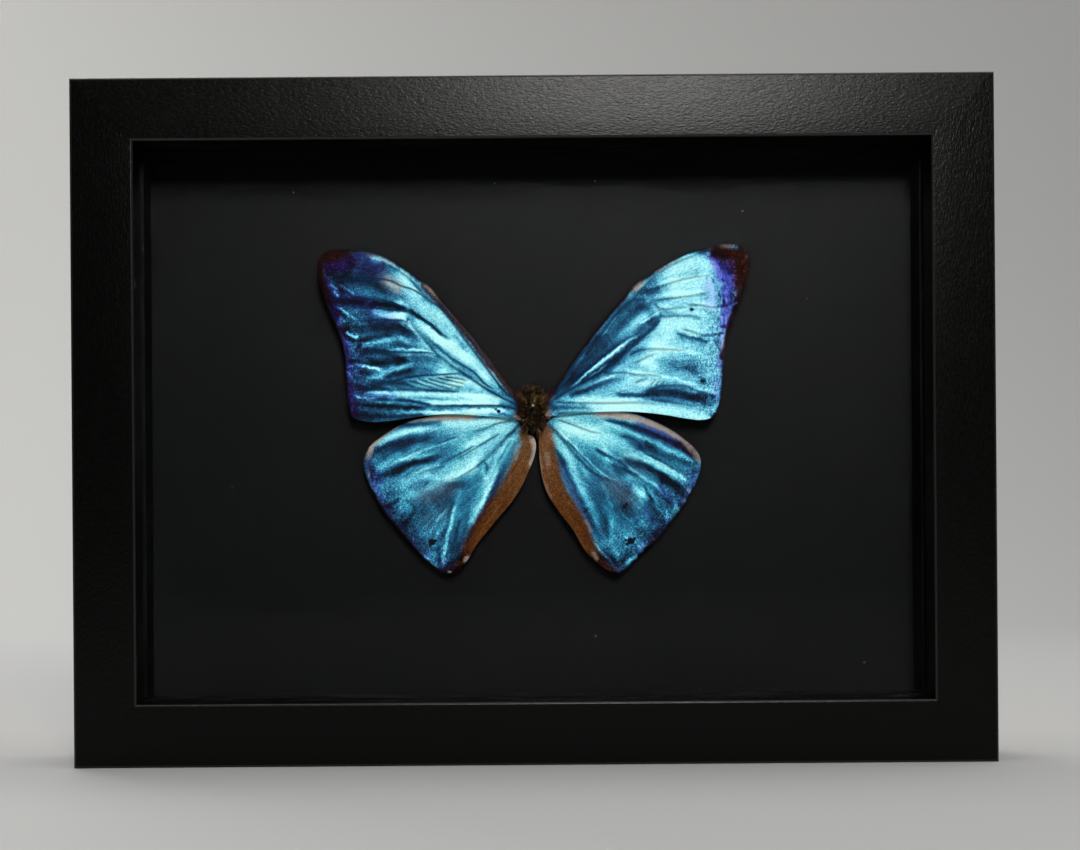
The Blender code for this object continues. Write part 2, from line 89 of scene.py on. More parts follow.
# ---------------------------------------------------------------- the wings' folds and colours
# A fold is (how much painted highlight or painted shade it adds, half width, points along it), and it
# also raises the relief; a vein (half width, points), a spot (radius, across, up), and each stroke of a
# coloured field (strength, half width, points).
FOREWING_LEFT_FOLDS = (
    (0.3, 1.99, ((-35.4, 34.2), (-31.9, 32.5), (-29.2, 30.0), (-27.1, 26.7))),
    (0.5, 0.57, ((-35.4, 34.2), (-31.9, 33.1), (-28.6, 31.3), (-26.1, 29.3), (-24.0, 27.1))),
    (0.35, 1.54, ((-29.2, 31.1), (-27.7, 28.9), (-26.8, 26.2), (-25.3, 24.0))),
    (0.5, 1.77, ((-25.3, 24.2), (-22.2, 22.5), (-19.4, 20.0), (-16.5, 16.2), (-13.9, 12.9),
        (-11.7, 10.0), (-9.5, 7.1), (-6.9, 4.2))),
    (0.6, 1.32, ((-25.8, 20.1), (-23.8, 18.3), (-21.2, 16.0), (-18.3, 13.8), (-15.7, 11.8), (-13.1, 9.6),
        (-10.4, 7.1), (-8.0, 4.7))),
    (0.3, 0.49, ((-32.3, 28.5), (-30.4, 27.8), (-28.2, 27.1))),
    (0.75, 0.79, ((-35.3, 21.9), (-31.9, 21.4), (-29.3, 21.1), (-27.1, 21.2))),
    (0.3, 0.66, ((-39.2, 21.0), (-37.0, 21.0), (-34.8, 21.2))),
    (0.45, 0.79, ((-37.3, 14.4), (-34.6, 15.3), (-31.5, 15.9), (-28.9, 15.9), (-26.7, 15.2))),
    (0.45, 0.26, ((-32.0, 13.5), (-28.3, 13.5), (-24.9, 13.3), (-21.4, 12.5))),
    (0.95, 0.33, ((-38.2, 10.1), (-35.8, 9.6), (-33.4, 9.1))),
    (0.95, 0.33, ((-41.0, 17.3), (-39.7, 16.6), (-38.2, 16.0))),
    (0.6, 0.4, ((-43.8, 23.1), (-41.9, 22.2), (-40.1, 21.0), (-38.6, 20.1))),
    (0.65, 0.26, ((-44.3, 27.9), (-42.7, 26.8))),
    (0.45, 0.29, ((-42.3, 27.7), (-40.5, 26.6), (-39.0, 25.7))),
    (0.5, 0.26, ((-43.6, 26.4), (-42.5, 25.0))),
    (0.3, 0.33, ((-41.4, 25.7), (-39.9, 24.8))),
    (0.35, 0.33, ((-42.5, 20.8), (-41.0, 19.7))),
    (0.35, 0.66, ((-33.8, 8.6), (-31.2, 8.8), (-28.5, 9.7), (-26.5, 10.3))),
    (0.4, 1.77, ((-28.3, 13.5), (-25.0, 12.1), (-21.4, 10.8), (-18.4, 9.0))),
    (0.3, 0.66, ((-25.4, 15.2), (-23.2, 13.6), (-21.4, 11.9))),
    (0.6, 0.71, ((-35.6, 4.0), (-29.4, 3.8), (-22.8, 3.5), (-16.2, 3.2), (-9.6, 2.7), (-5.2, 2.0))),
    (0.5, 0.31, ((-39.4, 3.2), (-36.9, 2.8), (-34.3, 2.7))),
    (0.4, 0.29, ((-37.2, 3.9), (-34.7, 4.2), (-31.6, 4.0))),
    (0.35, 1.99, ((-18.8, 6.1), (-14.0, 4.5), (-9.1, 2.7))),
    (0.6, 0.57, ((-30.8, -0.1), (-26.1, -0.2), (-20.6, -0.3), (-14.0, -0.1), (-6.3, 0.0))),
    (0.35, 0.29, ((-34.7, 2.0), (-32.1, 1.8), (-30.1, 1.4))),
    (0.3, 0.66, ((-22.8, -1.4), (-16.2, -0.8), (-9.6, -0.8))),
    (0.4, 0.33, ((-41.1, 9.8), (-39.3, 9.8))),
    (0.4, 0.44, ((-40.9, 8.7), (-40.0, 7.8))),
    (0.3, 0.33, ((-41.3, 15.5), (-40.2, 14.6))),
    (0.25, 0.44, ((-36.5, 6.9), (-34.3, 7.5), (-32.5, 8.0))),
    (0.3, 0.26, ((-31.6, 5.1), (-29.9, 4.6))),
    (0.35, 0.22, ((-28.9, 19.4), (-26.9, 17.6))),
    (-0.75, 0.57, ((-35.5, 23.4), (-32.6, 23.4), (-30.2, 23.2), (-28.0, 22.3))),
    (-0.85, 0.42, ((-26.9, 22.0), (-24.7, 20.5), (-22.5, 18.9), (-20.3, 17.1), (-18.5, 15.6))),
    (-0.4, 1.21, ((-36.4, 18.4), (-32.6, 18.3), (-28.9, 18.3), (-26.7, 16.7))),
    (-0.45, 0.79, ((-37.7, 12.9), (-35.1, 13.1), (-32.0, 12.6), (-29.8, 11.7), (-27.6, 11.0))),
    (-0.4, 0.71, ((-36.9, 11.3), (-33.3, 10.8), (-29.8, 10.8), (-27.6, 10.8))),
    (-0.4, 0.71, ((-32.5, 7.5), (-29.4, 8.2), (-26.3, 8.8))),
    (-0.35, 0.66, ((-35.6, 6.0), (-31.6, 6.2), (-28.5, 6.0))),
    (-0.3, 0.66, ((-40.0, 5.6), (-37.1, 5.1), (-32.7, 5.1))),
    (-0.7, 0.42, ((-29.9, 2.4), (-27.2, 2.1), (-24.6, 1.7), (-22.4, 1.3))),
    (-0.5, 0.66, ((-39.2, 1.6), (-35.0, 1.1), (-29.5, 0.9), (-24.2, 0.6))),
    (-0.35, 0.66, ((-39.6, -0.6), (-35.0, -1.1), (-29.5, -1.3), (-24.0, -1.1))),
    (-0.35, 1.32, ((-43.6, 29.7), (-39.2, 29.0), (-34.8, 28.1), (-31.5, 26.3))),
    (-0.45, 0.66, ((-43.6, 24.4), (-40.3, 24.1), (-36.8, 23.7))),
    (-0.3, 0.88, ((-41.4, 19.3), (-39.2, 18.4), (-36.8, 17.7))),
    (-0.25, 1.1, ((-39.1, 33.0), (-40.3, 30.8), (-41.4, 29.0))),
    (-0.35, 0.44, ((-44.1, 24.8), (-41.4, 23.9))),
    (-0.4, 0.44, ((-42.6, 18.0), (-39.9, 17.7))),
    (-0.4, 0.44, ((-40.4, 10.9), (-37.8, 11.1))),
    (-0.35, 0.55, ((-38.2, 8.7), (-35.6, 8.2))),
    (-0.4, 0.44, ((-37.7, 14.6), (-38.6, 13.5))),
    (0.28, 1.54, ((-25.3, 22.7), (-22.7, 19.6), (-19.6, 16.0))),
    (0.35, 0.66, ((-30.4, 24.1), (-28.0, 23.4))),
    (0.4, 0.57, ((-28.9, 21.0), (-27.1, 19.0), (-24.9, 16.5), (-22.7, 14.1))),
    (0.3, 0.66, ((-21.4, 13.4), (-18.8, 11.2), (-16.2, 8.9))),
    (0.38, 1.32, ((-26.8, 5.7), (-22.8, 6.6), (-18.8, 7.9), (-15.1, 7.4))),
    (0.25, 0.66, ((-34.9, 6.7), (-29.4, 6.4))),
    (0.62, 0.62, ((-31.6, 2.7), (-27.2, 2.2), (-22.8, 1.8), (-17.3, 1.8), (-11.8, 1.7), (-7.4, 1.4))),
    (0.42, 0.57, ((-14.0, -0.4), (-7.4, -0.3), (-4.7, -0.6))),
    (0.3, 0.44, ((-23.9, -0.3), (-20.6, -0.5), (-17.3, -0.5))),
    (0.25, 0.66, ((-34.8, 20.8), (-29.3, 20.3))),
    (-0.45, 0.53, ((-35.8, 34.7), (-31.4, 33.3), (-28.1, 31.3), (-24.8, 28.2))),
    (-0.3, 1.32, ((-33.6, 32.7), (-29.2, 30.7))),
    (-0.3, 1.1, ((-45.8, 31.7), (-41.4, 27.2))),
    (-0.35, 0.66, ((-43.6, 22.0), (-40.3, 20.8), (-29.3, 22.1))),
    (-0.4, 0.66, ((-41.5, 17.1), (-38.2, 15.7), (-31.5, 16.6))),
    (-0.3, 0.88, ((-30.4, 15.0), (-25.4, 13.4))),
    (-0.35, 1.32, ((-27.2, 11.9), (-20.5, 11.2))),
    (-0.4, 1.32, ((-13.9, 10.7), (-10.6, 7.6), (-7.4, 4.0))),
    (-0.25, 0.66, ((-17.2, 16.7), (-14.4, 13.3))),
    (-0.25, 0.57, ((-38.3, 4.5), (-30.5, 4.4))),
    (-0.3, 0.66, ((-38.2, 10.0), (-32.7, 10.0))),
    (-0.25, 1.77, ((-40.1, -0.8), (-35.0, -1.9))),
    (0.35, 0.44, ((-29.9, 1.4), (-20.6, 1.4), (-7.4, 1.2))),
    (0.45, 0.53, ((-23.3, -1.5), (-14.0, -1.5), (-6.1, -1.8))),
    (0.35, 0.66, ((-26.6, 27.1), (-23.8, 25.1))),
    (0.4, 0.66, ((-23.1, 27.5), (-20.4, 24.4))),
    (0.3, 0.88, ((-29.3, 23.4), (-26.9, 22.9))),
    (0.32, 0.53, ((-31.5, 20.3), (-28.2, 19.6), (-26.0, 17.6))),
    (0.25, 0.66, ((-34.9, 12.8), (-29.4, 12.4), (-24.9, 13.0), (-22.7, 12.1))),
    (0.3, 0.88, ((-20.5, 16.9), (-17.0, 14.2))),
    (0.42, 0.88, ((-23.7, 5.5), (-18.4, 5.7), (-14.0, 6.3), (-11.3, 4.9))),
    (0.3, 0.44, ((-10.8, 10.7), (-8.7, 7.6), (-7.6, 5.8))),
    (-0.28, 0.4, ((-31.7, 0.0), (-22.8, 0.0), (-14.0, -0.1))),
    (-0.3, 0.66, ((-32.4, 16.6), (-28.7, 16.1))),
    (-0.25, 1.32, ((-42.5, 27.2), (-39.9, 25.5))),
    (-0.3, 0.88, ((-44.7, 23.3), (-40.8, 21.9))),
    (-0.25, 0.88, ((-41.5, 18.4), (-39.3, 15.3))),
    (-0.2, 0.88, ((-38.2, 15.1), (-33.8, 15.3))),
    (-0.16, 1.77, ((-37.6, 31.6), (-33.6, 31.1))),
)
FOREWING_LEFT_VEINS = (
    (0.22, ((-3.2, 1.8), (-6.3, 4.2), (-9.5, 8.5), (-12.4, 12.4), (-15.7, 16.9), (-18.3, 20.4),
        (-20.5, 22.9), (-22.7, 24.2), (-24.8, 26.7), (-26.6, 28.7), (-28.3, 30.2), (-30.5, 31.6),
        (-32.5, 32.5))),
    (0.24, ((-3.2, 0.9), (-6.7, 2.7), (-9.6, 4.3), (-12.9, 6.5), (-16.6, 9.0), (-19.4, 11.2),
        (-21.2, 12.5), (-22.7, 14.5), (-24.9, 17.0), (-26.9, 19.2))),
    (0.2, ((-8.7, 4.7), (-10.7, 6.0), (-12.8, 8.3), (-15.5, 10.0), (-17.7, 11.4), (-19.9, 13.2),
        (-22.1, 15.2), (-23.4, 16.3))),
    (0.18, ((-3.2, 0.2), (-7.4, 0.9), (-14.0, 1.0), (-20.6, 1.0), (-23.3, 1.3), (-27.2, 2.2),
        (-33.9, 2.5), (-39.1, 2.7))),
    (0.15, ((-16.2, 4.1), (-22.8, 4.4), (-29.4, 4.6), (-34.9, 4.7), (-38.3, 4.0))),
    (0.15, ((-21.2, 12.5), (-23.8, 12.8), (-28.3, 12.8), (-32.0, 13.0), (-35.5, 13.1), (-38.6, 11.8))),
    (0.18, ((-26.9, 21.6), (-30.4, 22.3), (-33.7, 22.5), (-37.0, 22.8), (-41.4, 23.3), (-44.1, 23.7))),
    (0.18, ((-26.9, 21.8), (-28.6, 22.9), (-31.0, 23.8), (-34.1, 24.5), (-38.1, 24.8), (-44.1, 24.8))),
    (0.22, ((-27.3, 20.5), (-27.5, 19.2))),
    (0.15, ((-27.1, 19.2), (-28.9, 19.9), (-32.6, 20.0), (-37.0, 19.9), (-41.4, 20.2))),
    (0.15, ((-15.7, 8.1), (-19.5, 7.9), (-23.9, 7.7), (-27.6, 7.3), (-31.6, 6.4), (-35.6, 6.9),
        (-40.0, 7.6))),
    (0.15, ((-22.2, 24.0), (-25.9, 26.5), (-28.6, 27.4), (-31.4, 28.7), (-35.4, 29.2), (-40.3, 29.0),
        (-45.4, 28.6))),
    (0.2, ((-26.8, 6.6), (-23.7, 5.5), (-20.2, 4.3))),
    (0.18, ((-25.0, 7.0), (-21.5, 5.7), (-17.3, 4.5))),
    (0.18, ((-23.0, 7.0), (-19.3, 5.9), (-15.5, 5.0))),
    (0.15, ((-21.0, 7.2), (-17.9, 6.5), (-14.9, 5.8))),
    (0.15, ((-28.7, 6.2), (-26.3, 5.3), (-24.1, 4.6))),
    (0.13, ((-19.3, 7.4), (-16.6, 7.0), (-14.4, 6.5))),
)
FOREWING_LEFT_SPOTS = (
    (0.38, -7.5, -0.3), (0.22, -8.1, 0.1), (0.2, -6.3, 0.5),
)
FOREWING_LEFT_VIOLET = (
    (1.0, 1.54, ((-44.7, 31.7), (-42.0, 32.1), (-39.8, 33.0))),
    (0.55, 1.77, ((-37.2, 31.6), (-33.6, 31.1))),
    (0.6, 1.77, ((-41.4, 24.6), (-38.5, 24.1), (-35.5, 22.8))),
    (0.55, 1.32, ((-38.9, 33.8), (-36.3, 33.8))),
    (0.9, 1.54, ((-45.6, 28.1), (-44.3, 24.6), (-43.4, 20.6))),
    (0.75, 1.54, ((-42.6, 18.0), (-41.3, 13.5), (-40.4, 8.7))),
    (0.8, 1.43, ((-40.4, 5.8), (-40.0, 2.5), (-39.6, -1.0))),
    (0.45, 1.1, ((-42.9, 26.8), (-40.3, 24.6))),
    (0.35, 1.32, ((-37.7, 13.5), (-38.2, 8.0), (-37.8, 3.6))),
    (0.35, 0.88, ((-37.2, 3.1), (-30.5, 3.1))),
    (0.35, 1.32, ((-35.5, 20.1), (-31.1, 20.1))),
)
FOREWING_LEFT_BROWN = (
    (1.0, 1.88, ((-47.7, 34.1), (-44.6, 34.3), (-41.3, 35.2))),
    (1.0, 0.97, ((-46.9, 33.0), (-46.5, 29.0), (-44.9, 24.2))),
    (0.6, 0.88, ((-41.3, 35.2), (-38.9, 35.6))),
    (0.85, 0.57, ((-24.0, 27.5), (-21.3, 24.7), (-18.7, 21.5), (-15.6, 18.0), (-12.1, 13.6), (-8.6, 8.9),
        (-5.6, 4.9), (-3.0, 1.6))),
)
FOREWING_LEFT_PALE = (
    (0.62, 1.43, ((-32.5, 29.2), (-30.8, 28.0), (-28.8, 26.7))),
    (0.75, 0.75, ((-23.5, 27.8), (-22.2, 26.9), (-21.3, 26.0))),
    (0.35, 0.53, ((-36.3, 34.5), (-33.2, 33.6), (-30.1, 32.2))),
)
FOREWING_RIGHT_FOLDS = (
    (-0.5, 2.87, ((7.2, 3.9), (11.4, 9.8), (15.7, 14.9), (19.7, 20.2), (22.3, 22.8))),
    (-0.25, 1.99, ((17.4, 14.2), (20.1, 18.4), (23.7, 21.9))),
    (0.3, 1.99, ((29.0, 29.6), (32.6, 31.1), (37.0, 32.4), (39.2, 31.9))),
    (0.3, 1.99, ((30.3, 26.3), (34.7, 26.7), (38.7, 27.1))),
    (0.35, 2.65, ((28.0, 16.8), (31.4, 18.5), (36.9, 18.5))),
    (0.3, 1.99, ((25.8, 14.1), (31.3, 14.1), (36.8, 13.4))),
    (0.2, 1.77, ((30.3, 23.4), (36.9, 23.8))),
    (-0.28, 1.32, ((24.8, 25.6), (26.4, 26.9), (28.1, 27.6))),
    (-0.3, 1.54, ((25.9, 24.3), (27.2, 25.4), (28.5, 25.8))),
    (-0.3, 0.77, ((29.2, 21.3), (32.9, 21.0), (36.9, 20.2))),
    (-0.18, 1.77, ((41.8, 32.3), (42.2, 26.2), (41.7, 20.0))),
    (0.7, 0.33, ((8.5, 4.9), (10.3, 6.3), (12.5, 8.2), (14.8, 10.1), (17.0, 11.9), (19.2, 13.5),
        (21.4, 15.1), (23.0, 15.9))),
    (0.55, 0.26, ((15.2, 16.0), (16.4, 17.5), (17.7, 19.3), (18.8, 20.6))),
    (0.22, 0.26, ((5.4, 3.7), (7.2, 6.3), (9.0, 8.8), (11.0, 11.6), (13.2, 14.5))),
    (0.45, 0.93, ((17.4, 14.9), (19.7, 16.6), (22.1, 18.8), (24.8, 20.6), (27.4, 22.1))),
    (0.5, 0.35, ((23.9, 18.8), (25.9, 19.9), (28.1, 21.2))),
    (0.6, 0.26, ((12.5, 7.1), (14.1, 8.1), (15.4, 9.0), (16.7, 9.9))),
    (-0.45, 0.49, ((11.0, 6.1), (14.3, 8.5), (17.8, 11.1), (21.4, 13.5), (24.1, 15.7), (26.9, 18.3),
        (28.5, 20.5))),
    (0.2, 0.44, ((24.7, 18.1), (25.6, 18.3))),
    (-0.2, 0.35, ((8.3, 5.2), (10.3, 7.2), (12.5, 9.0), (14.8, 10.9), (17.0, 12.7), (19.2, 14.2))),
    (-0.45, 0.75, ((7.9, 2.9), (11.2, 4.0), (14.3, 5.2), (17.4, 6.2), (20.2, 6.9))),
    (0.2, 0.35, ((7.2, 2.4), (9.0, 3.9), (12.5, 5.2), (15.6, 6.5), (18.7, 7.4))),
    (-0.5, 0.4, ((31.6, 16.8), (33.6, 16.1), (36.2, 15.3), (38.8, 14.7))),
    (-0.3, 0.75, ((32.4, 15.6), (35.7, 15.0), (38.2, 14.5))),
    (-0.45, 0.35, ((37.1, 16.1), (39.5, 16.1), (42.4, 16.6))),
    (0.25, 0.55, ((29.8, 13.2), (34.6, 12.5), (37.9, 11.6))),
    (-0.34, 1.77, ((29.8, 10.4), (33.3, 9.9), (36.8, 9.0))),
    (-0.22, 0.66, ((33.7, 9.2), (35.5, 8.1), (36.6, 7.2))),
    (-0.75, 0.62, ((37.3, 6.6), (37.9, 5.7))),
    (0.34, 1.1, ((23.6, 10.4), (26.2, 10.0), (27.1, 8.6))),
    (0.3, 0.44, ((20.9, 8.4), (25.8, 7.6), (30.6, 6.6), (34.6, 5.5), (37.2, 4.1))),
    (-0.25, 0.88, ((25.4, 13.0), (23.6, 12.6), (21.4, 12.0))),
    (-0.85, 1.02, ((24.8, 3.2), (27.9, 3.4), (31.5, 3.4), (35.2, 2.7), (38.5, 1.9))),
    (-0.55, 0.53, ((18.7, 3.2), (21.8, 2.9), (25.3, 2.9))),
    (-0.55, 0.53, ((36.8, 3.5), (38.7, 3.1), (40.3, 2.5))),
    (0.3, 0.35, ((39.4, 3.5), (40.5, 3.0))),
    (0.35, 0.93, ((7.0, 2.2), (14.7, 1.9), (23.5, 2.0), (27.9, 1.3))),
    (0.35, 1.1, ((14.7, 0.3), (23.5, 0.0), (31.2, -0.7), (36.7, -1.6))),
    (-0.34, 0.57, ((4.7, 0.5), (8.1, 0.3), (12.5, 0.5))),
    (-0.3, 0.66, ((37.2, 0.8), (39.2, 1.0), (40.3, 1.7))),
    (-0.25, 0.71, ((40.8, 14.3), (41.7, 15.6))),
    (0.3, 0.33, ((38.3, 34.4), (39.6, 34.1))),
    (0.35, 0.31, ((26.4, 29.6), (29.0, 31.1), (32.1, 32.7), (35.2, 34.0), (37.9, 34.7))),
    (0.4, 0.26, ((25.2, 23.9), (25.9, 23.6))),
    (0.5, 0.24, ((41.8, 24.0), (41.9, 22.9))),
    (0.5, 0.22, ((42.7, 24.4), (42.8, 23.3))),
    (0.45, 0.26, ((42.4, 25.3), (42.9, 25.9))),
    (0.5, 0.24, ((41.7, 20.2), (41.8, 18.9))),
    (0.5, 0.24, ((42.6, 20.6), (42.7, 18.7))),
    (0.3, 0.26, ((44.4, 27.5), (44.9, 26.6))),
    (0.3, 0.22, ((41.5, 21.3), (41.5, 22.2))),
    (-0.4, 0.29, ((42.2, 24.0), (42.3, 22.4))),
    (-0.5, 0.33, ((41.7, 18.0), (42.8, 17.8))),
    (-0.4, 0.26, ((41.3, 25.5), (41.4, 24.6))),
    (-0.4, 0.33, ((41.8, 28.6), (42.5, 27.7))),
    (-0.4, 0.26, ((39.8, 28.6), (40.0, 27.7))),
    (-0.3, 0.26, ((38.5, 28.8), (38.7, 28.0))),
    (0.35, 0.66, ((25.0, 25.9), (29.2, 27.6), (34.7, 28.6), (38.1, 29.1))),
    (0.3, 0.66, ((25.5, 24.7), (30.3, 25.1), (36.9, 25.5))),
    (0.3, 1.1, ((38.1, 30.6), (39.6, 26.2), (39.6, 21.8))),
    (0.4, 0.75, ((28.1, 22.5), (32.5, 21.4), (38.0, 20.5))),
    (0.35, 1.32, ((16.6, 16.0), (19.2, 19.3), (21.5, 21.2))),
    (0.25, 1.77, ((33.5, 15.2), (38.0, 16.3))),
    (0.28, 1.77, ((23.6, 11.7), (29.1, 12.6), (34.6, 10.3))),
    (0.22, 1.99, ((15.8, 7.4), (21.3, 6.5), (26.9, 7.5))),
    (0.25, 0.66, ((26.8, 3.3), (34.6, 3.3), (39.4, 3.7))),
    (0.3, 0.88, ((9.2, 1.0), (16.9, 1.0), (23.5, 0.7))),
    (0.25, 0.88, ((34.5, -1.6), (36.7, -2.5))),
    (0.4, 0.53, ((42.2, 15.6), (42.3, 11.8))),
    (-0.35, 0.66, ((21.9, 25.9), (25.5, 26.3))),
    (-0.4, 0.88, ((26.3, 20.1), (23.6, 16.8), (20.3, 13.7))),
    (-0.4, 0.66, ((19.2, 11.3), (15.8, 8.5), (13.0, 6.3))),
    (-0.35, 1.32, ((3.7, 2.2), (6.3, 5.2), (9.4, 8.3))),
    (-0.3, 0.66, ((11.5, 12.1), (14.8, 16.4))),
    (-0.4, 0.66, ((34.4, 34.6), (37.9, 34.8))),
    (-0.3, 0.88, ((41.8, 32.3), (44.0, 29.5))),
    (-0.3, 0.66, ((44.0, 25.7), (44.6, 21.7))),
    (-0.2, 0.44, ((23.5, 2.0), (36.8, 1.7))),
    (-0.25, 0.66, ((39.4, -0.7), (40.3, -2.5))),
    (0.35, 0.66, ((22.4, 25.9), (25.0, 27.0))),
    (0.35, 0.88, ((36.5, 23.3), (40.2, 22.2), (42.0, 21.3))),
    (0.4, 0.66, ((42.2, 16.5), (41.7, 11.6))),
    (0.3, 0.66, ((23.5, 5.3), (28.4, 6.0))),
    (0.3, 0.88, ((39.6, 32.4), (41.4, 29.3), (41.8, 26.6))),
    (0.32, 0.66, ((6.9, -0.5), (14.7, -0.8), (23.5, -0.8), (26.8, -2.0))),
    (0.3, 0.66, ((36.3, -2.0), (39.4, -2.5))),
    (-0.4, 1.1, ((22.8, 23.2), (27.0, 20.5), (25.8, 18.3))),
    (-0.3, 0.88, ((20.7, 12.2), (15.8, 7.4))),
    (-0.35, 0.88, ((3.4, 1.7), (5.0, -0.3))),
    (-0.35, 0.88, ((36.6, 34.4), (43.2, 33.2))),
    (-0.2, 2.21, ((30.2, 14.1), (36.8, 14.1))),
    (-0.2, 1.1, ((14.8, 20.6), (18.2, 23.0))),
)
FOREWING_RIGHT_VEINS = (
    (0.22, ((4.1, 1.7), (7.4, 3.9), (9.6, 5.2), (12.5, 6.6), (14.7, 8.1), (16.7, 9.6), (19.2, 11.3),
        (21.8, 13.5), (24.7, 15.9), (26.9, 17.7), (28.5, 20.1))),
    (0.18, ((7.4, 4.6), (10.3, 7.4), (13.0, 9.5), (15.4, 11.5), (18.3, 13.8), (21.4, 15.9))),
    (0.2, ((14.1, 14.7), (16.1, 17.3), (18.6, 20.6), (20.6, 22.8), (22.4, 24.3), (24.4, 26.5),
        (26.4, 28.5), (29.0, 30.5), (32.6, 32.4), (36.3, 33.8), (38.3, 34.1))),
    (0.2, ((5.0, 3.1), (6.8, 6.1), (8.8, 9.2), (10.8, 12.1), (13.0, 14.7))),
    (0.18, ((23.7, 25.0), (25.9, 26.1), (28.6, 27.0), (32.5, 28.2), (35.2, 28.8), (39.2, 29.3))),
    (0.15, ((27.4, 23.8), (29.9, 24.2), (33.6, 24.6), (36.3, 25.0), (39.1, 25.5))),
    (0.24, ((27.0, 23.2), (28.3, 22.0), (30.7, 22.0), (33.6, 22.4))),
    (0.15, ((34.3, 22.8), (37.4, 22.7), (40.0, 22.2), (42.2, 22.6), (44.9, 23.7))),
    (0.2, ((28.1, 21.4), (28.9, 20.3), (32.5, 20.4), (35.6, 20.3), (37.3, 19.6))),
    (0.29, ((34.9, 21.8), (35.8, 21.7))),
    (0.15, ((33.3, 17.4), (35.3, 16.9), (37.5, 16.0))),
    (0.2, ((21.4, 11.8), (23.2, 12.8), (25.4, 13.1), (28.9, 13.1), (33.7, 12.8))),
    (0.2, ((22.7, 10.1), (24.7, 11.1), (26.7, 12.0))),
    (0.18, ((15.8, 7.8), (20.3, 8.0), (22.9, 7.5), (25.8, 7.5), (28.4, 7.1))),
    (0.2, ((40.2, 14.9), (41.3, 12.9), (42.3, 11.2))),
    (0.22, ((5.0, 1.6), (10.3, 1.4), (16.9, 1.3), (24.0, 1.4), (27.9, 1.1))),
    (0.22, ((5.4, -1.0), (7.2, -0.7), (10.3, -0.6), (13.3, -0.5))),
    (0.15, ((22.7, 5.8), (25.3, 6.8))),
    (0.18, ((26.0, 5.2), (27.1, 6.4))),
    (0.15, ((27.1, 5.1), (28.1, 6.3))),
    (0.13, ((28.2, 5.1), (29.1, 6.2))),
    (0.2, ((25.7, 4.2), (28.4, 4.9), (32.4, 5.1), (35.0, 4.4), (37.4, 3.2))),
    (0.2, ((25.7, 2.1), (30.1, 1.5), (34.5, 0.8), (38.1, 0.7))),
    (0.13, ((22.4, 24.1), (24.8, 24.0), (27.0, 23.2))),
)
FOREWING_RIGHT_SPOTS = (
    (0.35, 35.2, 21.8),
)
FOREWING_RIGHT_VIOLET = (
    (1.0, 1.43, ((40.3, 33.5), (41.4, 31.2), (42.0, 28.8))),
    (1.0, 1.32, ((43.6, 31.4), (44.0, 29.2), (44.0, 27.0))),
    (0.85, 1.54, ((43.1, 26.6), (43.1, 23.9), (42.9, 20.9), (42.6, 18.2))),
    (0.6, 1.32, ((44.6, 23.9), (44.2, 20.4))),
    (0.55, 1.1, ((42.2, 16.0), (41.9, 12.9), (41.4, 9.4))),
    (0.35, 1.32, ((41.0, 6.3), (40.7, 2.3))),
    (0.35, 1.77, ((39.6, 27.3), (40.0, 22.9))),
)
FOREWING_RIGHT_BROWN = (
    (1.0, 1.77, ((41.0, 34.8), (43.6, 33.9), (46.5, 33.4))),
    (1.0, 1.54, ((46.3, 34.5), (47.6, 32.3), (48.0, 29.2))),
    (1.0, 1.99, ((46.0, 32.3), (46.4, 29.2), (46.6, 26.6))),
    (0.9, 0.88, ((46.2, 26.1), (45.5, 23.9))),
    (0.85, 0.53, ((45.1, 22.6), (43.9, 19.5), (42.8, 15.6), (41.7, 11.2))),
    (0.6, 0.66, ((37.7, 35.0), (39.7, 35.2))),
    (0.5, 1.1, ((44.5, 32.3), (45.1, 29.7))),
    (0.9, 0.62, ((3.0, 1.7), (5.0, 4.8), (7.0, 7.9), (9.2, 11.4), (11.7, 14.7), (13.9, 17.8),
        (16.2, 20.4), (18.6, 22.8), (20.6, 25.0))),
)
FOREWING_RIGHT_PALE = (
    (1.0, 0.93, ((22.4, 26.5), (23.3, 27.3), (24.2, 28.0))),
    (0.6, 0.44, ((41.4, 35.8), (44.3, 35.7))),
    (0.4, 0.35, ((47.4, 33.6), (47.4, 33.0))),
    (0.35, 0.57, ((27.0, 30.2), (29.9, 31.8), (32.6, 33.1))),
)
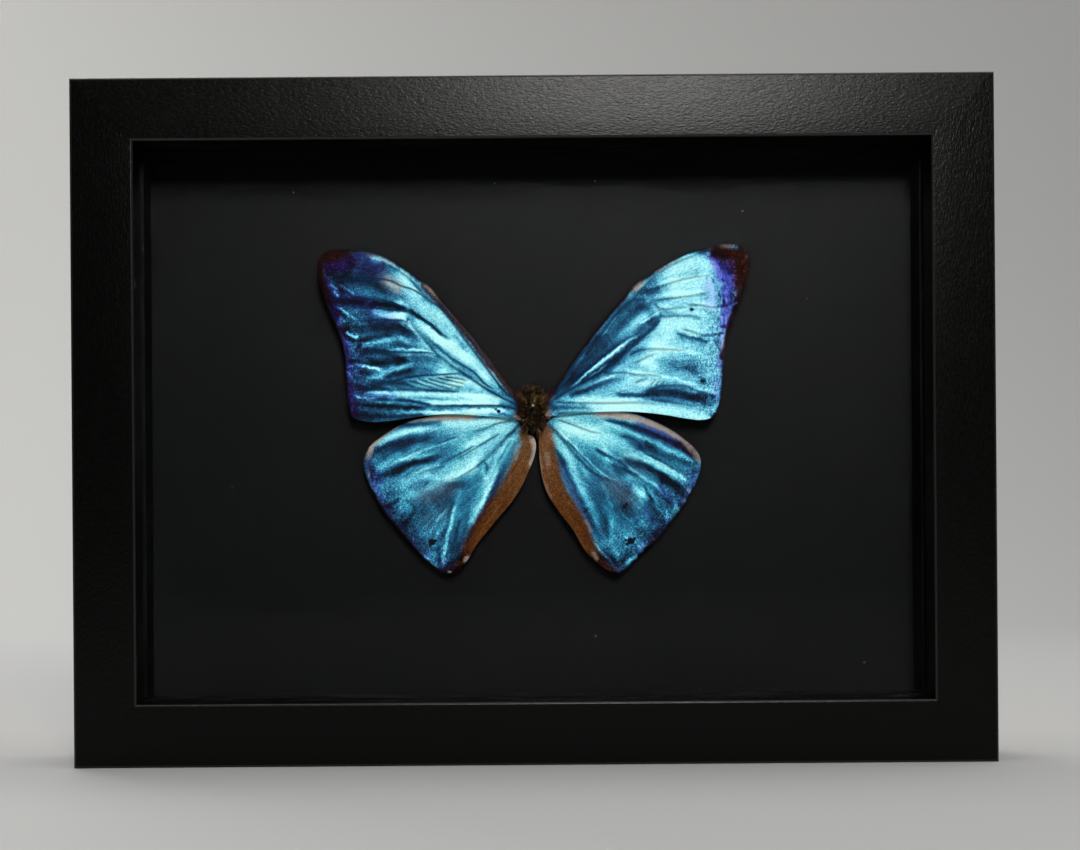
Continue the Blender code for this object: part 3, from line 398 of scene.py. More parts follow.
HINDWING_LEFT_FOLDS = (
    (0.4, 1.99, ((-20.7, -2.9), (-14.0, -3.2), (-5.2, -2.8))),
    (0.4, 2.43, ((-3.0, -3.1), (-7.4, -5.7), (-11.9, -7.9), (-15.9, -10.0))),
    (0.35, 1.99, ((-10.8, -9.2), (-16.3, -12.2), (-20.7, -14.2))),
    (0.2, 1.54, ((-14.1, -5.9), (-18.5, -6.9))),
    (0.35, 0.75, ((-35.9, -8.3), (-33.9, -6.8), (-31.3, -5.2), (-27.7, -4.0), (-22.9, -3.1))),
    (-0.45, 0.93, ((-36.4, -9.7), (-33.9, -8.4), (-30.6, -7.1), (-26.9, -6.4), (-22.4, -6.1))),
    (-0.3, 0.66, ((-31.3, -5.7), (-28.4, -5.5), (-25.1, -4.9))),
    (0.12, 0.77, ((-34.4, -12.1), (-31.3, -10.1), (-27.3, -8.6), (-22.5, -7.3))),
    (0.42, 0.29, ((-29.1, -10.8), (-25.1, -9.1), (-20.7, -7.5), (-16.7, -6.1))),
    (-0.48, 0.66, ((-33.5, -13.9), (-29.5, -12.1), (-25.1, -10.8), (-20.7, -10.1))),
    (-0.35, 0.66, ((-35.8, -15.2), (-32.2, -14.1), (-28.7, -12.6))),
    (0.45, 0.57, ((-30.5, -15.0), (-27.4, -13.1), (-24.3, -12.0), (-20.7, -11.5))),
    (0.3, 1.32, ((-29.6, -16.5), (-26.5, -14.8), (-22.5, -13.5))),
    (-0.35, 1.1, ((-19.0, -17.3), (-17.2, -16.4), (-15.0, -16.2))),
    (-0.36, 2.43, ((-23.0, -19.2), (-19.5, -19.3), (-20.8, -22.4))),
    (-0.22, 2.21, ((-14.1, -18.0), (-15.1, -22.0), (-16.0, -26.4))),
    (-0.46, 2.87, ((-28.7, -22.3), (-26.6, -25.4), (-23.5, -28.5), (-21.7, -31.2))),
    (-0.3, 1.99, ((-33.1, -20.1), (-31.0, -22.7), (-29.2, -25.4))),
    (-0.34, 1.99, ((-19.1, -25.9), (-17.8, -29.7), (-18.2, -33.0))),
    (0.3, 0.79, ((-25.0, -18.3), (-23.0, -16.6), (-20.5, -15.3), (-17.2, -14.7))),
    (0.25, 0.88, ((-30.0, -19.2), (-27.4, -17.9), (-25.2, -19.0))),
    (0.42, 1.02, ((-3.9, -4.8), (-7.0, -10.1), (-9.5, -14.5), (-11.1, -18.0), (-12.9, -22.4),
        (-14.2, -25.5))),
    (0.22, 0.44, ((-15.9, -17.1), (-16.8, -19.7), (-17.5, -22.4))),
    (0.62, 0.4, ((-17.3, -21.3), (-18.2, -24.8), (-19.1, -28.5), (-19.8, -32.1), (-19.8, -34.3))),
    (0.45, 0.26, ((-19.2, -21.5), (-20.4, -23.2), (-21.5, -24.6))),
    (0.3, 0.26, ((-22.1, -25.4), (-23.0, -27.2))),
    (0.3, 0.26, ((-20.8, -26.3), (-21.5, -27.9))),
    (0.55, 0.44, ((-25.1, -31.6), (-23.3, -33.1), (-21.3, -34.7))),
    (0.25, 0.88, ((-23.5, -30.7), (-22.2, -32.3))),
    (0.25, 0.44, ((-19.8, -33.4), (-18.2, -32.1))),
    (-0.4, 0.26, ((-4.8, -6.6), (-6.1, -8.8), (-7.9, -11.9))),
    (-0.35, 0.66, ((-6.2, -12.3), (-8.0, -16.7), (-10.2, -21.1), (-12.9, -25.5), (-15.1, -29.5))),
    (-0.5, 0.53, ((-32.3, -21.6), (-30.9, -20.3), (-29.6, -19.2))),
    (-0.4, 0.44, ((-29.0, -26.0), (-27.7, -24.1), (-26.3, -22.3))),
    (-0.25, 0.53, ((-28.7, -19.6), (-26.5, -20.8), (-26.1, -22.3))),
    (-0.2, 0.44, ((-14.2, -23.1), (-15.5, -27.5), (-16.9, -31.2))),
    (-0.3, 0.35, ((-16.4, -24.1), (-17.3, -28.6))),
    (0.2, 0.44, ((-34.0, -12.5), (-34.9, -13.9))),
    (0.25, 0.66, ((-34.0, -17.8), (-32.7, -19.2))),
    (0.15, 0.53, ((-35.3, -16.1), (-33.1, -16.5))),
    (-0.25, 0.44, ((-24.3, -17.2), (-23.4, -15.7))),
    (0.5, 0.57, ((-33.0, -4.6), (-30.1, -2.9), (-26.8, -1.6), (-24.6, -1.1))),
    (0.55, 0.62, ((-33.9, -7.7), (-30.6, -5.7), (-26.2, -4.4), (-20.7, -3.8))),
    (0.3, 0.88, ((-19.6, -2.9), (-11.8, -2.6), (-5.2, -1.7))),
    (0.35, 0.66, ((-32.2, -10.4), (-29.5, -9.0))),
    (0.3, 0.66, ((-29.5, -10.8), (-24.0, -10.2), (-20.7, -9.1))),
    (0.25, 0.66, ((-34.0, -12.5), (-31.3, -11.2), (-28.4, -10.6))),
    (0.35, 0.66, ((-24.1, -14.6), (-20.7, -14.4))),
    (0.4, 0.88, ((-18.5, -14.9), (-14.6, -13.1), (-11.9, -10.9))),
    (0.35, 0.66, ((-11.0, -12.7), (-8.8, -9.9), (-7.0, -7.9))),
    (0.25, 1.1, ((-23.0, -17.5), (-19.7, -17.1))),
    (0.3, 0.44, ((-7.5, -13.2), (-10.2, -18.0), (-11.5, -21.5))),
    (0.18, 3.97, ((-29.6, -20.7), (-23.0, -25.2))),
    (0.18, 3.31, ((-14.1, -17.5), (-17.5, -24.1))),
    (0.2, 2.65, ((-20.8, -28.5), (-17.5, -26.3))),
    (0.5, 0.49, ((-24.2, -31.8), (-22.7, -33.8))),
    (-0.55, 0.66, ((-31.1, -14.3), (-28.4, -12.6), (-25.6, -11.5), (-21.6, -11.3))),
    (-0.25, 0.66, ((-15.9, -10.7), (-11.9, -9.2))),
    (-0.35, 0.66, ((-5.7, -5.7), (-3.5, -4.8))),
    (-0.45, 0.88, ((-20.0, -34.9), (-17.4, -33.4), (-15.1, -31.7))),
    (-0.2, 0.88, ((-32.9, -18.5), (-27.8, -17.9))),
    (-0.3, 1.1, ((-35.7, -11.9), (-36.2, -14.7))),
    (0.3, 1.1, ((-31.3, -5.9), (-24.0, -5.3))),
    (0.3, 0.88, ((-15.0, -7.8), (-9.2, -5.2))),
    (0.3, 0.66, ((-33.3, -13.2), (-27.3, -10.6), (-22.5, -9.8))),
    (0.35, 0.53, ((-26.7, -13.7), (-20.3, -12.2))),
    (0.3, 1.1, ((-16.8, -15.1), (-11.9, -12.3))),
    (0.4, 0.66, ((-11.2, -13.2), (-10.2, -15.1))),
    (0.28, 0.44, ((-13.3, -24.6), (-9.7, -17.6), (-7.9, -13.2))),
    (0.2, 0.44, ((-12.9, -29.0), (-7.5, -20.9))),
    (0.4, 0.66, ((-30.4, -2.0), (-27.3, -1.1), (-24.2, -0.7))),
    (-0.35, 0.88, ((-33.3, -10.6), (-29.5, -8.6), (-26.9, -7.7))),
    (-0.3, 0.66, ((-30.2, -14.8), (-24.7, -12.4))),
    (-0.35, 0.66, ((-37.0, -8.1), (-37.5, -13.0))),
    (-0.28, 1.54, ((-25.6, -20.3), (-23.5, -23.2))),
    (-0.3, 0.53, ((-17.5, -19.7), (-19.1, -25.2), (-20.6, -29.0))),
    (-0.25, 0.53, ((-10.8, -17.1), (-12.8, -21.1))),
    (-0.25, 0.53, ((-29.9, -3.5), (-22.9, -2.9))),
    (-0.5, 0.66, ((-20.0, -35.4), (-17.4, -35.2), (-15.1, -33.9))),
    (0.36, 1.77, ((-25.2, -25.8), (-22.6, -28.7), (-21.3, -30.7))),
    (0.12, 2.65, ((-29.6, -19.6), (-27.0, -23.0))),
    (0.1, 3.09, ((-20.8, -20.8), (-18.6, -25.2))),
)
HINDWING_LEFT_VEINS = (
    (0.33, ((-2.6, -2.6), (-3.9, -4.2), (-6.3, -6.6), (-8.3, -8.8), (-10.3, -10.8))),
    (0.2, ((-10.3, -10.8), (-12.3, -12.3), (-14.6, -13.8), (-16.3, -14.8), (-18.1, -15.2))),
    (0.18, ((-10.8, -11.2), (-10.1, -12.5), (-10.4, -14.3))),
    (0.15, ((-4.8, -2.3), (-7.9, -3.0), (-10.7, -4.1), (-13.2, -4.8))),
    (0.15, ((-13.0, -7.8), (-15.8, -9.4), (-18.5, -10.7), (-20.7, -12.0))),
    (0.15, ((-19.6, -12.2), (-22.9, -13.1), (-25.6, -14.0))),
    (0.2, ((-33.0, -4.8), (-31.0, -3.6), (-28.2, -3.0), (-24.2, -2.9), (-20.2, -2.2))),
    (0.31, ((-21.1, -29.9), (-20.9, -32.1), (-20.7, -34.7))),
    (0.15, ((-16.7, -5.8), (-18.9, -6.5), (-21.8, -7.8))),
    (0.13, ((-7.4, -5.2), (-10.8, -7.2), (-14.1, -9.2), (-17.4, -11.1))),
)
HINDWING_LEFT_SPOTS = (
    (0.68, -22.4, -29.0), (0.29, -21.6, -28.7), (0.26, -22.8, -29.6), (0.49, -20.7, -35.2),
    (0.57, -16.9, -35.4), (0.4, -15.2, -34.3), (0.31, -16.0, -33.0),
)
HINDWING_LEFT_VIOLET = (
    (0.5, 0.99, ((-36.4, -11.2), (-35.7, -14.7), (-34.0, -18.3), (-31.8, -22.3))),
    (0.4, 1.1, ((-29.6, -25.4), (-26.6, -29.4), (-23.5, -32.5))),
    (0.6, 0.88, ((-34.9, -13.4), (-34.0, -15.6))),
    (0.35, 0.88, ((-30.6, -7.5), (-26.9, -6.6))),
    (0.3, 0.66, ((-7.7, -14.9), (-10.2, -20.7), (-12.9, -25.5), (-15.1, -29.5))),
    (0.4, 1.1, ((-20.9, -33.4), (-18.2, -34.3))),
    (0.9, 0.75, ((-20.0, -35.4), (-17.4, -35.2), (-15.2, -34.1))),
)
HINDWING_LEFT_BROWN = (
    (0.9, 0.53, ((-13.4, -30.4), (-15.1, -33.0))),
    (0.15, 1.99, ((-24.3, -19.2), (-20.8, -17.9), (-17.7, -16.6))),
    (0.18, 1.77, ((-23.5, -24.1), (-19.5, -22.4))),
)
HINDWING_LEFT_PALE = (
    (0.12, 1.99, ((-24.3, -19.2), (-20.8, -17.9), (-17.7, -16.6))),
    (1.0, 0.66, ((-36.6, -10.3), (-35.7, -8.1), (-33.9, -5.9), (-31.7, -4.0), (-29.0, -2.4),
        (-26.4, -1.7), (-22.4, -1.6), (-17.3, -1.5), (-12.3, -1.5))),
    (0.85, 0.66, ((-0.2, -6.2), (0.6, -8.8), (-0.4, -12.4))),
    (0.35, 0.35, ((-1.3, -15.0), (-3.6, -19.4), (-6.9, -23.8), (-10.3, -28.2))),
    (0.3, 0.66, ((-3.0, -7.5), (-4.2, -11.0))),
    (0.8, 0.49, ((-14.7, -32.1), (-15.1, -33.4))),
    (0.6, 0.29, ((-36.8, -9.2), (-36.6, -10.5))),
    (0.55, 0.26, ((-36.4, -13.2), (-36.2, -14.5))),
    (0.5, 0.26, ((-34.7, -19.2), (-34.2, -20.3))),
    (0.9, 0.31, ((-18.9, -35.4), (-18.3, -35.8))),
)
HINDWING_RIGHT_FOLDS = (
    (0.4, 2.21, ((4.7, -3.1), (10.2, -4.5), (17.3, -4.1))),
    (0.38, 1.99, ((6.9, -4.9), (12.4, -7.4), (17.9, -8.3))),
    (0.38, 1.77, ((8.4, -6.7), (12.4, -10.2), (15.9, -13.4))),
    (0.4, 1.54, ((14.7, -1.4), (19.1, -2.1), (23.5, -2.4))),
    (-0.65, 0.66, ((16.0, -2.1), (19.9, -3.0), (23.9, -4.5), (27.4, -5.9), (30.9, -7.5), (34.0, -9.1),
        (36.4, -10.9))),
    (0.4, 0.53, ((16.0, -3.0), (19.5, -4.3), (23.9, -6.1), (28.3, -8.2), (32.7, -10.2), (36.7, -11.6))),
    (0.22, 0.66, ((24.5, -7.7), (28.9, -9.5), (34.4, -11.7))),
    (-0.4, 0.71, ((26.5, -9.0), (30.5, -10.4), (34.9, -12.4))),
    (0.5, 0.33, ((23.4, -9.3), (26.7, -11.2), (30.2, -13.1), (32.7, -14.8), (34.6, -16.6))),
    (-0.6, 0.97, ((19.9, -11.1), (23.9, -11.9), (26.9, -13.4), (30.4, -15.5), (34.0, -17.7))),
    (-0.5, 0.88, ((27.8, -15.2), (30.9, -17.0), (33.1, -19.2))),
    (0.52, 0.33, ((18.8, -10.5), (21.2, -12.7), (23.6, -14.5), (26.7, -16.5), (29.3, -19.2),
        (30.6, -21.0))),
    (-0.4, 0.4, ((13.7, -8.7), (15.9, -10.0), (18.1, -11.4))),
    (-0.45, 0.44, ((17.2, -11.8), (19.9, -13.3), (23.4, -14.7))),
    (-0.3, 0.4, ((17.7, -12.9), (20.3, -14.5))),
    (0.36, 1.21, ((20.3, -15.2), (23.4, -16.9), (25.1, -19.2))),
    (-0.5, 0.35, ((24.5, -17.0), (25.3, -18.7), (26.2, -20.1))),
    (0.3, 0.44, ((26.2, -17.8), (27.1, -20.7), (28.2, -23.2))),
    (-0.3, 0.66, ((26.9, -17.9), (29.1, -19.9), (30.4, -21.6))),
    (0.4, 0.35, ((29.5, -21.8), (29.5, -25.4))),
    (0.3, 0.33, ((31.3, -20.1), (31.5, -22.3))),
    (-0.28, 2.87, ((14.1, -17.8), (14.9, -23.3), (16.2, -28.8))),
    (-0.36, 2.43, ((19.4, -17.4), (21.1, -20.0), (19.8, -23.3))),
    (-0.42, 3.31, ((25.5, -23.4), (27.7, -25.6), (24.4, -30.0))),
    (-0.3, 2.21, ((32.2, -19.7), (29.9, -24.1), (26.6, -27.8))),
    (0.22, 0.4, ((15.2, -16.0), (16.3, -18.7), (17.4, -21.5))),
    (0.36, 1.1, ((4.0, -4.4), (6.4, -8.4), (8.6, -12.9), (10.6, -17.3), (12.7, -21.7))),
    (0.16, 0.88, ((13.2, -22.6), (14.5, -26.6), (15.8, -29.9))),
    (0.3, 0.88, ((17.1, -24.4), (17.1, -29.3), (18.8, -33.2))),
    (0.25, 0.66, ((18.0, -31.7), (19.3, -34.1))),
    (-0.5, 0.31, ((11.2, -22.6), (12.3, -21.7))),
    (-0.75, 0.26, ((19.8, -21.6), (20.9, -20.7))),
    (0.6, 0.26, ((13.1, -29.0), (14.9, -31.2), (16.6, -33.2), (18.4, -35.2))),
    (0.5, 0.26, ((5.8, -4.5), (9.1, -8.1), (12.4, -11.6), (15.2, -14.0), (18.1, -15.7))),
    (-0.3, 0.53, ((5.8, -9.3), (7.9, -14.2), (10.1, -19.1), (12.7, -24.4), (14.9, -28.8))),
    (0.4, 0.26, ((20.2, -28.2), (20.9, -28.6))),
    (-0.2, 0.66, ((22.4, -24.4), (23.7, -27.8))),
    (0.25, 0.88, ((21.9, -31.7), (23.7, -30.2))),
    (-0.3, 0.66, ((21.7, -7.2), (23.0, -8.3), (23.9, -8.8))),
    (-0.25, 0.49, ((24.8, -7.0), (26.1, -8.1))),
    (0.2, 0.44, ((34.4, -13.5), (35.8, -12.6))),
    (-0.2, 0.88, ((34.4, -14.6), (35.8, -13.5))),
    (0.35, 1.1, ((5.0, -0.5), (9.1, -1.4), (13.8, -1.2))),
    (0.35, 0.66, ((14.7, -0.3), (22.4, -0.8), (26.8, -2.4))),
    (0.3, 1.99, ((16.4, -5.0), (20.1, -7.9), (23.4, -10.3))),
    (0.5, 0.66, ((15.9, -10.5), (18.1, -11.6))),
    (0.5, 0.79, ((19.9, -10.3), (23.4, -10.8), (27.8, -12.6), (33.3, -16.1))),
    (0.3, 0.66, ((6.9, -8.0), (9.7, -12.2))),
    (0.3, 1.1, ((17.2, -15.6), (19.4, -17.4))),
    (0.35, 1.54, ((21.2, -18.9), (24.4, -21.1))),
    (0.25, 1.77, ((26.6, -22.3), (29.9, -22.7), (32.2, -21.2))),
    (0.3, 0.66, ((26.7, -9.0), (30.5, -9.7))),
    (0.25, 2.21, ((23.3, -24.4), (26.6, -26.7))),
    (0.3, 0.88, ((23.3, -31.1), (25.5, -29.5))),
    (0.2, 1.32, ((15.4, -20.0), (18.0, -26.6))),
    (0.5, 0.44, ((20.6, -33.7), (22.4, -32.6))),
    (-0.4, 1.32, ((8.0, -5.6), (11.3, -8.5), (15.7, -13.4))),
    (-0.35, 0.79, ((24.5, -7.5), (27.4, -8.4))),
    (-0.4, 0.66, ((33.6, -8.0), (36.0, -10.4), (36.2, -12.6))),
    (-0.3, 0.88, ((21.2, -16.0), (24.5, -17.4))),
    (-0.5, 1.32, ((13.5, -33.2), (17.1, -33.7), (19.3, -34.6))),
    (-0.2, 1.54, ((16.2, -29.9), (18.4, -33.2))),
    (0.38, 1.32, ((5.8, -3.1), (12.4, -4.5), (15.1, -5.9))),
    (0.25, 0.66, ((3.6, -5.8), (6.9, -10.2), (9.1, -13.1))),
    (0.3, 0.66, ((10.2, -11.3), (12.4, -15.3))),
    (0.4, 0.88, ((21.8, -16.7), (24.7, -19.2))),
    (0.35, 0.53, ((21.9, -11.2), (26.7, -12.3), (34.8, -18.1))),
    (0.3, 0.57, ((15.5, -8.7), (18.8, -11.4))),
    (0.25, 0.88, ((12.3, -20.0), (14.5, -25.7))),
    (0.3, 1.54, ((26.4, -26.9), (30.6, -23.4))),
    (0.35, 0.53, ((22.8, -33.5), (26.8, -29.8))),
    (0.25, 0.66, ((23.0, -3.5), (27.9, -5.5))),
    (-0.3, 0.88, ((23.0, -7.9), (28.1, -9.5))),
    (-0.35, 0.88, ((16.8, -15.8), (19.6, -17.4))),
    (-0.35, 1.1, ((32.3, -6.9), (36.0, -10.4))),
    (-0.3, 1.32, ((25.1, -20.0), (28.2, -22.5))),
    (-0.25, 0.66, ((15.8, -22.8), (16.7, -29.0))),
    (-0.42, 0.88, ((18.8, -33.9), (23.3, -30.4))),
    (-0.3, 0.88, ((4.5, -8.0), (7.5, -12.6))),
    (0.14, 1.54, ((20.2, -27.1), (22.8, -29.3), (21.9, -31.5))),
    (0.12, 2.65, ((14.5, -26.6), (17.1, -30.6))),
    (-0.12, 1.54, ((14.4, -32.3), (18.4, -33.2))),
)
HINDWING_RIGHT_VEINS = (
    (0.33, ((3.4, -3.1), (5.4, -5.1), (7.6, -7.6), (9.3, -9.9))),
    (0.22, ((9.3, -9.9), (11.3, -12.0), (13.2, -13.8), (15.0, -14.9), (17.0, -15.6))),
    (0.18, ((5.8, -2.3), (9.1, -3.4), (12.4, -4.7), (15.1, -5.3))),
    (0.24, ((19.5, -5.9), (21.2, -6.2), (23.0, -7.0), (24.1, -8.3), (24.8, -9.7))),
    (0.15, ((13.7, -8.7), (16.4, -10.1), (19.0, -11.4), (21.2, -13.0))),
    (0.18, ((16.0, -2.3), (19.9, -3.2), (23.9, -4.6), (27.4, -6.2))),
    (0.13, ((24.5, -9.7), (27.8, -11.2), (31.3, -13.5))),
    (0.15, ((27.8, -16.8), (29.5, -19.4), (30.8, -21.0))),
    (0.13, ((7.6, -6.7), (11.1, -10.5), (14.6, -13.8))),
)
HINDWING_RIGHT_SPOTS = (
    (0.71, 21.5, -29.1), (0.31, 22.3, -28.6), (0.29, 20.8, -29.7), (0.22, 20.4, -28.9),
)
HINDWING_RIGHT_VIOLET = (
    (0.6, 0.99, ((23.5, -3.3), (27.9, -5.3), (32.3, -7.7), (35.3, -10.0))),
    (0.4, 0.99, ((36.2, -13.5), (34.8, -17.0), (32.6, -21.0))),
    (0.45, 0.99, ((29.9, -24.9), (26.6, -28.4), (23.3, -31.5))),
    (0.4, 0.88, ((28.2, -17.4), (30.4, -20.5))),
    (0.4, 0.88, ((25.1, -22.7), (26.6, -24.5))),
    (0.3, 0.66, ((6.0, -11.5), (7.9, -15.9), (10.1, -20.8), (12.7, -26.1))),
    (0.45, 1.1, ((15.7, -34.5), (19.3, -35.5))),
)
HINDWING_RIGHT_BROWN = (
    (0.9, 0.53, ((12.7, -30.5), (14.9, -33.7))),
    (0.15, 1.99, ((16.8, -16.0), (19.4, -18.2), (21.6, -20.5))),
    (0.18, 1.77, ((20.8, -10.7), (23.8, -13.4))),
)
HINDWING_RIGHT_PALE = (
    (0.12, 1.99, ((16.8, -16.0), (19.4, -18.2), (21.6, -20.5))),
    (1.0, 0.75, ((13.8, -1.0), (18.0, -1.2), (22.4, -1.9), (26.1, -3.1), (29.6, -4.6), (32.7, -6.4),
        (35.1, -8.9), (37.1, -11.5))),
    (0.22, 0.35, ((1.6, -9.9), (2.0, -14.6), (3.9, -19.4))),
    (0.25, 0.66, ((3.1, -9.3), (3.5, -12.4))),
    (0.6, 0.49, ((13.1, -31.4), (14.0, -33.2))),
    (0.35, 0.33, ((11.4, -24.4), (12.7, -27.0))),
    (0.55, 0.26, ((34.2, -17.5), (34.6, -18.4))),
    (0.5, 0.26, ((33.3, -19.9), (33.7, -20.8))),
    (0.5, 0.26, ((31.9, -22.1), (32.4, -22.8))),
    (0.45, 0.26, ((29.3, -26.3), (29.7, -26.9))),
    (0.45, 0.26, ((26.4, -28.4), (26.8, -28.9))),
    (0.4, 0.26, ((24.4, -30.0), (24.8, -30.4))),
    (0.45, 0.26, ((22.6, -32.4), (23.0, -32.8))),
)

# Widths of the brown field along a hindwing's inner margin, from the root to the tip, in mm
INNER_WIDTHS = (3.2, 4.2, 4.4, 4.1, 3.4, 2.4, 1.0)

# For each wing: its corners (root, tip, end of the outer margin, end of the trailing edge), its plain
# lightness with painted light in it, the right forewing painted lighter than the left (base), and lean to
# green, how deep its veins, narrow folds (crease) and wide folds (swell) are, the folds in painted highlight
# and shade as well as relief, how much violet darkens it, how light its brown field is, the brown widths
# along its inner margin, the half width of its brown leading rim, how far it lies behind its plate's
# middle, and how far its relief may go back and forth, in mm.
WINGS = {
    "forewing_left": {
        "folds": FOREWING_LEFT_FOLDS, "veins": FOREWING_LEFT_VEINS, "spots": FOREWING_LEFT_SPOTS,
        "violet": FOREWING_LEFT_VIOLET, "brown": FOREWING_LEFT_BROWN, "pale": FOREWING_LEFT_PALE,
        "corners": ((-3.3, 2.4), (-46.9, 31.4), (-39.2, -1.8), (-3.7, -2.0)),
        "base_and_painted_light": 0.46, "green": 0.35, "vein_depth": 0.85, "crease": 0.95, "swell": 1.0,
        "violet_depth": 0.26, "brown_light": 0.24, "inner": (), "rim": 0.55,
        "set_back": -0.4, "reach": (-0.5, 0.55),
    },
    "forewing_right": {
        "folds": FOREWING_RIGHT_FOLDS, "veins": FOREWING_RIGHT_VEINS, "spots": FOREWING_RIGHT_SPOTS,
        "violet": FOREWING_RIGHT_VIOLET, "brown": FOREWING_RIGHT_BROWN, "pale": FOREWING_RIGHT_PALE,
        "corners": ((3.4, 2.4), (48.1, 33.0), (39.4, -2.2), (4.1, -1.5)),
        "base_and_painted_light": 0.76, "green": 0.12, "vein_depth": 0.6, "crease": 0.9, "swell": 0.92,
        "violet_depth": 0.06, "brown_light": 0.24, "inner": (), "rim": 0.5,
        "set_back": -0.4, "reach": (-0.5, 0.55),
    },
    "hindwing_left": {
        "folds": HINDWING_LEFT_FOLDS, "veins": HINDWING_LEFT_VEINS, "spots": HINDWING_LEFT_SPOTS,
        "violet": HINDWING_LEFT_VIOLET, "brown": HINDWING_LEFT_BROWN, "pale": HINDWING_LEFT_PALE,
        "corners": ((-3.1, -2.5), (-37.4, -12.0), (-18.9, -35.9), (0.1, -5.9)),
        "base_and_painted_light": 0.51, "green": 0.62, "vein_depth": 0.65, "crease": 0.68, "swell": 0.84,
        "violet_depth": 0.1, "brown_light": 0.58, "inner": INNER_WIDTHS, "rim": 0.0,
        "set_back": 0.35, "reach": (-0.45, 0.6),
    },
    "hindwing_right": {
        "folds": HINDWING_RIGHT_FOLDS, "veins": HINDWING_RIGHT_VEINS, "spots": HINDWING_RIGHT_SPOTS,
        "violet": HINDWING_RIGHT_VIOLET, "brown": HINDWING_RIGHT_BROWN, "pale": HINDWING_RIGHT_PALE,
        "corners": ((3.4, -2.6), (37.2, -12.0), (17.8, -35.9), (1.5, -5.8)),
        "base_and_painted_light": 0.51, "green": 0.7, "vein_depth": 0.65, "crease": 0.66, "swell": 0.82,
        "violet_depth": 0.1, "brown_light": 0.58, "inner": INNER_WIDTHS, "rim": 0.0,
        "set_back": 0.35, "reach": (-0.45, 0.6),
    },
}


# ---------------------------------------------------------------- settings a user would change
class FrameSettings(bpy.types.PropertyGroup):
    """Sizes and colours of the moulding, the boards and the metal parts."""

    slope: FloatProperty(name="Face slope",
                         description="How far the moulding's face falls back to its outer edge",
                         default=0.15 * MM, unit="LENGTH")
    edge: FloatProperty(name="Edge radius", description="Rounding of the moulding's front edges",
                        default=0.55 * MM, unit="LENGTH")
    mitre_gap: FloatProperty(name="Mitre gap", description="Hairline at each corner of the frame",
                             default=0.05 * MM, unit="LENGTH")
    foil: FloatVectorProperty(name="Foil colour", description="Black foil on the moulding",
                              default=(0.0009, 0.0009, 0.0007), subtype="COLOR")
    # The paler colour of the rounded front edges is a painted highlight
    edge_highlight: FloatVectorProperty(name="Worn edge", description="The moulding's front edges",
                              default=(0.036, 0.036, 0.033), subtype="COLOR")
    card: FloatVectorProperty(name="Card colour", description="Black card behind the specimen",
                              default=(0.0013, 0.0014, 0.0016), subtype="COLOR")
    panel: FloatVectorProperty(name="Panel colour", description="Brown fibreboard at the back",
                               default=(0.24, 0.14, 0.07), subtype="COLOR")
    zinc: FloatVectorProperty(name="Zinc colour", description="The flat points that hold the back in",
                              default=(0.56, 0.56, 0.55), subtype="COLOR")
    brass: FloatVectorProperty(name="Brass colour", description="The hanger and its rivets",
                               default=(0.66, 0.47, 0.19), subtype="COLOR")


class WingSettings(bpy.types.PropertyGroup):
    """Mesh, relief and colours of the wings."""

    rows: IntProperty(name="Rows", description="Mesh rows from the wing's root to its outer margin",
                      default=270)
    columns: IntProperty(name="Columns", description="Mesh columns across the wing", default=158)
    thickness: FloatProperty(name="Thickness", description="Thickness of a wing",
                             default=0.16 * MM, unit="LENGTH")
    fold_height: FloatProperty(name="Fold height", description="Height of the strongest fold",
                               default=0.12 * MM, unit="LENGTH")
    vein_height: FloatProperty(name="Vein height", description="How far a vein stands out of the wing",
                               default=0.03 * MM, unit="LENGTH")
    # From night to glare, the colours along the wing's lightness: the dark ones are also the painted shade in
    # and under the folds, the light ones the painted highlight on their flanks and crests
    night: FloatVectorProperty(name="Darkest blue", description="Deep in a fold",
                               default=(0.0045, 0.0045, 0.011), subtype="COLOR")
    deep: FloatVectorProperty(name="Deep blue", description="On the shaded side of a fold",
                              default=(0.010, 0.040, 0.098), subtype="COLOR")
    blue: FloatVectorProperty(name="Blue", description="Between the folds",
                              default=(0.026, 0.155, 0.290), subtype="COLOR")
    cyan: FloatVectorProperty(name="Cyan", description="On a fold's flank",
                              default=(0.130, 0.520, 0.720), subtype="COLOR")
    bright: FloatVectorProperty(name="Bright cyan", description="On a fold's crest",
                                default=(0.40, 0.87, 0.94), subtype="COLOR")
    glare: FloatVectorProperty(name="Glare", description="Where the scales mirror the light",
                               default=(0.60, 0.97, 0.98), subtype="COLOR")


class BodySettings(bpy.types.PropertyGroup):
    """The butterfly's hairy body."""

    thorax_tufts: IntProperty(name="Thorax tufts", description="Tufts of hair on the thorax", default=330)
    head_tufts: IntProperty(name="Head tufts", description="Tufts of hair on the head", default=150)
    tuft_hairs: IntProperty(name="Hairs in a tuft", description="Hairs that share a root and a colour",
                            default=8)
    fringe_tufts: IntProperty(name="Fringe tufts", description="Tufts at the sides of the thorax",
                              default=170)
    hair_radius: FloatProperty(name="Hair radius", description="Radius at a hair's root",
                               default=0.065 * MM, unit="LENGTH")
    dark: FloatVectorProperty(name="Dark hair", description="Most of the hairs",
                              default=(0.0035, 0.0018, 0.0010), subtype="COLOR")
    brown: FloatVectorProperty(name="Brown hair", description="Lighter hairs between them",
                               default=(0.045, 0.019, 0.006), subtype="COLOR")


